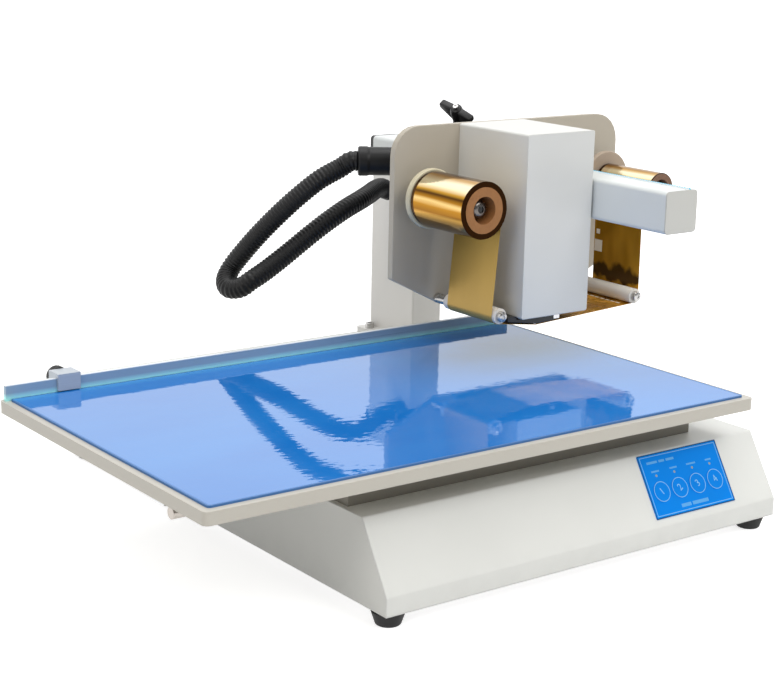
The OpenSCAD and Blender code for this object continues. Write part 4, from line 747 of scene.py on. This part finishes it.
# ---- Spindles, cores and foil rolls ----
# Cream moulded spindles with a flange, brown cardboard cores, and gold foil wound round them; the take-up
# spindle is a darker grey-brown, a painted shade on its flange. The wound edge shows its turns as fine dark
# rings, and a steel plug closes each spindle's front end.
SUPPLY, TAKEUP = (0.0745, 0.291), (0.3005, 0.2935)
SUPPLY_R, TAKEUP_R = 0.027, 0.0167
dress(plastic("cream_flange", tone("D2C9AC"), 0.3, 0.12), "supply_spindle")
# Painted shade: the take-up spindle is a darker grey-brown copy of the cream, for the shade on its flange.
dress(plastic("takeup_flange_painted_shade", tone("AC9B89"), 0.38, 0.12), "takeup_spindle")


def radius_from(finish, at):
    """Distance from an axis along Y."""
    dx, dz = finish.axis("X") - at[0], finish.axis("Z") - at[1]
    return (dx * dx + dz * dz).power(0.5)


def card(name, at, deep, pale):
    finish = Finish(name, tone(pale), 0.7)
    plies = (radius_from(finish, at) * 9000.0).sine().ramp(-1, 1)
    fuzz = finish.noise(260, 4)
    finish.set("Base Color", finish.mix(plies * 0.5 + fuzz * 0.5, tone(deep), tone(pale)))
    finish.bump(plies * 0.4 + fuzz, 0.5, 0.00012)
    return finish


dress(card("supply_card", SUPPLY, "84532A", "B07A44"), "supply_core")
dress(card("takeup_card", TAKEUP, "60442F", "8E6C55"), "takeup_core")


def gold(name, deep, pale, gloss=0.12, wave=1.0, along=(1, 1, 1), metallic=1.0, soft=0.13):
    """Metallised film: a mirror with soft creases, and dark and bright streaks along the way it was wound,
    painted into its colour as reflections.
    """
    finish = Finish(name, tone(pale), gloss, metallic)
    streaks_and_painted_reflection = finish.noise(1, 3, tuple(60 * a for a in along))
    # Painted reflection: the colour runs between dark and bright along the streaks.
    finish.set("Base Color", finish.mix(streaks_and_painted_reflection.ramp(0.5 - soft, 0.5 + soft), tone(deep), tone(pale)))
    finish.set("Roughness", streaks_and_painted_reflection.ramp(0.3, 0.8, gloss - 0.04, gloss + 0.08))
    creases = finish.noise(30, 2, (1, 0.35, 1)) * 0.75 + finish.noise(110, 2, (0.6, 1, 0.6)) * 0.25
    finish.bump(creases, 0.6 * wave, 0.0022)
    return finish


# Painted reflection: bright and brown bands along a roll, from its underside to its top, standing for the
# lamps and room that it mirrors.
ROLL_REFLECTION_BANDS = ((0.0, "4A3A22"), (0.12, "8A7040"), (0.26, "A57E3B"), (0.34, "D0A04E"), (0.4, "8E5F14"),
              (0.5, "AE7A24"), (0.57, "F0CC84"), (0.63, "A8741C"), (0.7, "472805"), (0.75, "C0902F"),
              (0.84, "FFF0C6"), (0.9, "FFF3D0"), (0.96, "C0903C"), (1.0, "7A5420"))


def wound(finish, at, radius, front=-0.0885, inner=-0.0165):
    """Colour a roll: painted reflection bands round it, the cut edge as fine rings, and a dark band round its
    rear end.
    """
    height = (finish.axis("Z") - (at[1] - radius)) / (2 * radius)
    wobble = finish.noise(1, 3, (70, 5, 70)) - 0.5
    # Painted reflection and highlight: colour bands by height round the roll.
    film_with_painted_reflection = finish.bands(height + wobble * 0.12, ROLL_REFLECTION_BANDS)
    y = finish.axis("Y")
    film_with_painted_reflection = finish.mix(y.above(inner), film_with_painted_reflection, tone("4A2F10"))
    rings = (radius_from(finish, at) * 14000.0).sine().ramp(-1, 1)
    edge_tone = finish.mix(rings, tone("120701"), tone("2E1908"))
    finish.set("Base Color", finish.mix(y.below(front), film_with_painted_reflection, edge_tone))
    return finish


supply_foil = gold("supply_foil", "9A6420", "F0C674", 0.12, 0.2, (1, 0.05, 1))
takeup_foil = gold("takeup_foil", "9A6420", "F0C674", 0.15, 0.4, (1, 0.05, 1))
dress(wound(supply_foil, SUPPLY, SUPPLY_R), "foil_roll")
dress(wound(takeup_foil, TAKEUP, TAKEUP_R), "takeup_roll")
web = gold("web_foil", "93783F", "B5965A", 0.34, 0.35, (0.3, 0.6, 0.1), 0.55, 0.3)
spent_side = web.axis("X").above(0.2)
# Painted shade: the fresh film is darker towards its top, under the roll.
fresh_with_painted_shade = web.mix(web.axis("Z").ramp(0.195, 0.268), tone("BF9C56"), tone("A68740"))
# Painted reflection: the spent film is mottled dark brown and bright gold, with a dark brown band low down.
reflection_blotches = web.noise(1, 2, (10, 26, 9))
spent_painted_reflection = web.mix(reflection_blotches.ramp(0.4, 0.62), tone("A07210"), tone("D8A034"))
up_web = web.axis("Z") + web.noise(1, 2, (20, 60, 40)) * 0.03
spent_painted_reflection = web.mix(up_web.ramp(0.2225, 0.2285, 1.0, 0.0) * up_web.ramp(0.2100, 0.2130), spent_painted_reflection, tone("4A3006"))
web.set("Base Color", web.mix(spent_side, fresh_with_painted_shade, spent_painted_reflection))
web.set("Metallic", spent_side.ramp(0, 1, 0.5, 0.55))
web.set("Specular IOR Level", 0.15)
dress(web, "foil_web")
print_gold = gold("printed_web_foil", "B07A10", "F0B43E", 0.26, 0.8, (0.5, 0.7, 0.5), 0.5)
print_gold.set("Specular IOR Level", 0.1)
dark_steel = drawn("spindle_steel", (0.17, 0.155, 0.145), 0.28, "Y")
PLUG = ((0, 0.0085), (0.0016, 0.0084), (0.0032, 0.0072), (0.0041, 0.0052), (0.0044, 0.0034), (0.0028, 0.0030))
PIT = ((0, 0.0029), (0.0006, 0.0027), (0.0007, 0.0009))
PLUG_Y, PIT_Y = -0.0800, -0.0829
for name, (x, z), body in (("supply_plug", SUPPLY, "supply"), ("takeup_plug", TAKEUP, "takeup")):
    put_on(turned(name, PLUG, 40, (x, PLUG_Y, z), (0, -1, 0)), dark_steel, body)
    put_on(turned(name + "_socket", PIT, 6, (x, PIT_Y, z), (0, -1, 0)), knob_black, body)

# ---- Foil across the print head ----
# The same film, drawn tight from the left roller under the print line and up to the right roller.
WEB_Y0, WEB_Y1 = -0.0825, -0.0155
FILM_THICK, BLEND_Y, BLEND_Z = 0.00025, -0.05, 0.18


def touch(c1, r1, c2, r2):
    """Where a straight film meets two circles from below, and the way that it runs."""
    gap = Vector(c2) - Vector(c1)
    turn = math.atan2(gap.y, gap.x) - math.asin((r2 - r1) / gap.length)
    normal = Vector((-math.sin(turn), math.cos(turn)))
    return Vector(c1) - r1 * normal, Vector(c2) - r2 * normal, turn


guide_r, tip_r, tip = 0.007925, 0.001425, (0.149, 0.1745)
left_in, left_tip, left_turn = touch(ROLLERS[0], guide_r, tip, tip_r)
right_tip, right_out, right_turn = touch(tip, tip_r, ROLLERS[1], guide_r)
middle_turn = (left_turn + right_turn) / 2
low_tip = Vector(tip) + tip_r * Vector((math.sin(middle_turn), -math.cos(middle_turn)))


def follow_print_head(obj):
    """Write the piece's placement into its mesh."""
    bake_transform(obj)


def film(name, path):
    """A strip of film along a path of X and Z."""
    long, wide = 40, 16
    bpy.ops.object.select_all(action="DESELECT")
    bpy.ops.mesh.primitive_grid_add(x_subdivisions=long, y_subdivisions=wide, size=1)
    strip_of_film = bpy.context.object
    strip_of_film.name = strip_of_film.data.name = name
    lengths = [0.0]
    for a, b in zip(path, path[1:]):
        lengths.append(lengths[-1] + (b - a).length)
    for vertex in strip_of_film.data.vertices:
        s = (vertex.co.x + 0.5) * lengths[-1]
        k = next((i for i in range(1, len(lengths)) if lengths[i] >= s - 1e-9), len(lengths) - 1)
        spot = path[k - 1].lerp(path[k], (s - lengths[k - 1]) / (lengths[k] - lengths[k - 1]))
        vertex.co = (spot.x, WEB_Y0 + (vertex.co.y + 0.5) * (WEB_Y1 - WEB_Y0), spot.y)
    wall = strip_of_film.modifiers.new("film", "SOLIDIFY")
    wall.thickness, wall.offset = FILM_THICK, 0
    only(strip_of_film)
    bpy.ops.object.modifier_apply(modifier=wall.name)
    smooth(strip_of_film, 50)
    put_on(strip_of_film, print_gold)
    follow_print_head(strip_of_film)
    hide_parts("foil_span")


film("span_left", [left_in, left_tip, low_tip])
film("span_right", [right_out, right_tip, low_tip])

# The film carries spent print on its way to the take-up: plain blocks and dashes where the gold has gone.
spent = plastic("spent_film", tone("FBF3E2"), 0.5, 0.05)
MARK_EDGE = 0.00001
WEB_MARKS = (((-0.0275, 0.2220), (-0.0165, 0.2340)), ((-0.0235, 0.2400), (-0.0185, 0.2450)))
SPAN_MARKS, MARK_X, MARK_Y, MARK_STEP, MARK_DEEP = 7, 0.2655, -0.0235, 0.0076, 0.0050
web_x = right_out.x + 0.0071
marks = [block("spent", (web_x - 0.00012, y0, z0), (web_x - 0.00004, y1, z1), MARK_EDGE, 1)
         for (y0, z0), (y1, z1) in WEB_MARKS]
put_on(joined("spent_marks_web", marks), spent, "head")
marks = []
for k in range(SPAN_MARKS):
    y, wide = MARK_Y - MARK_STEP * k, 0.0040 if k % 3 else 0.0028
    marks.append(block("spent", (MARK_X, y - MARK_DEEP, 0.1792), (MARK_X + wide, y, 0.1793), MARK_EDGE, 1))
marks = joined("spent_marks_span", marks)
put_on(marks, spent)
follow_print_head(marks)
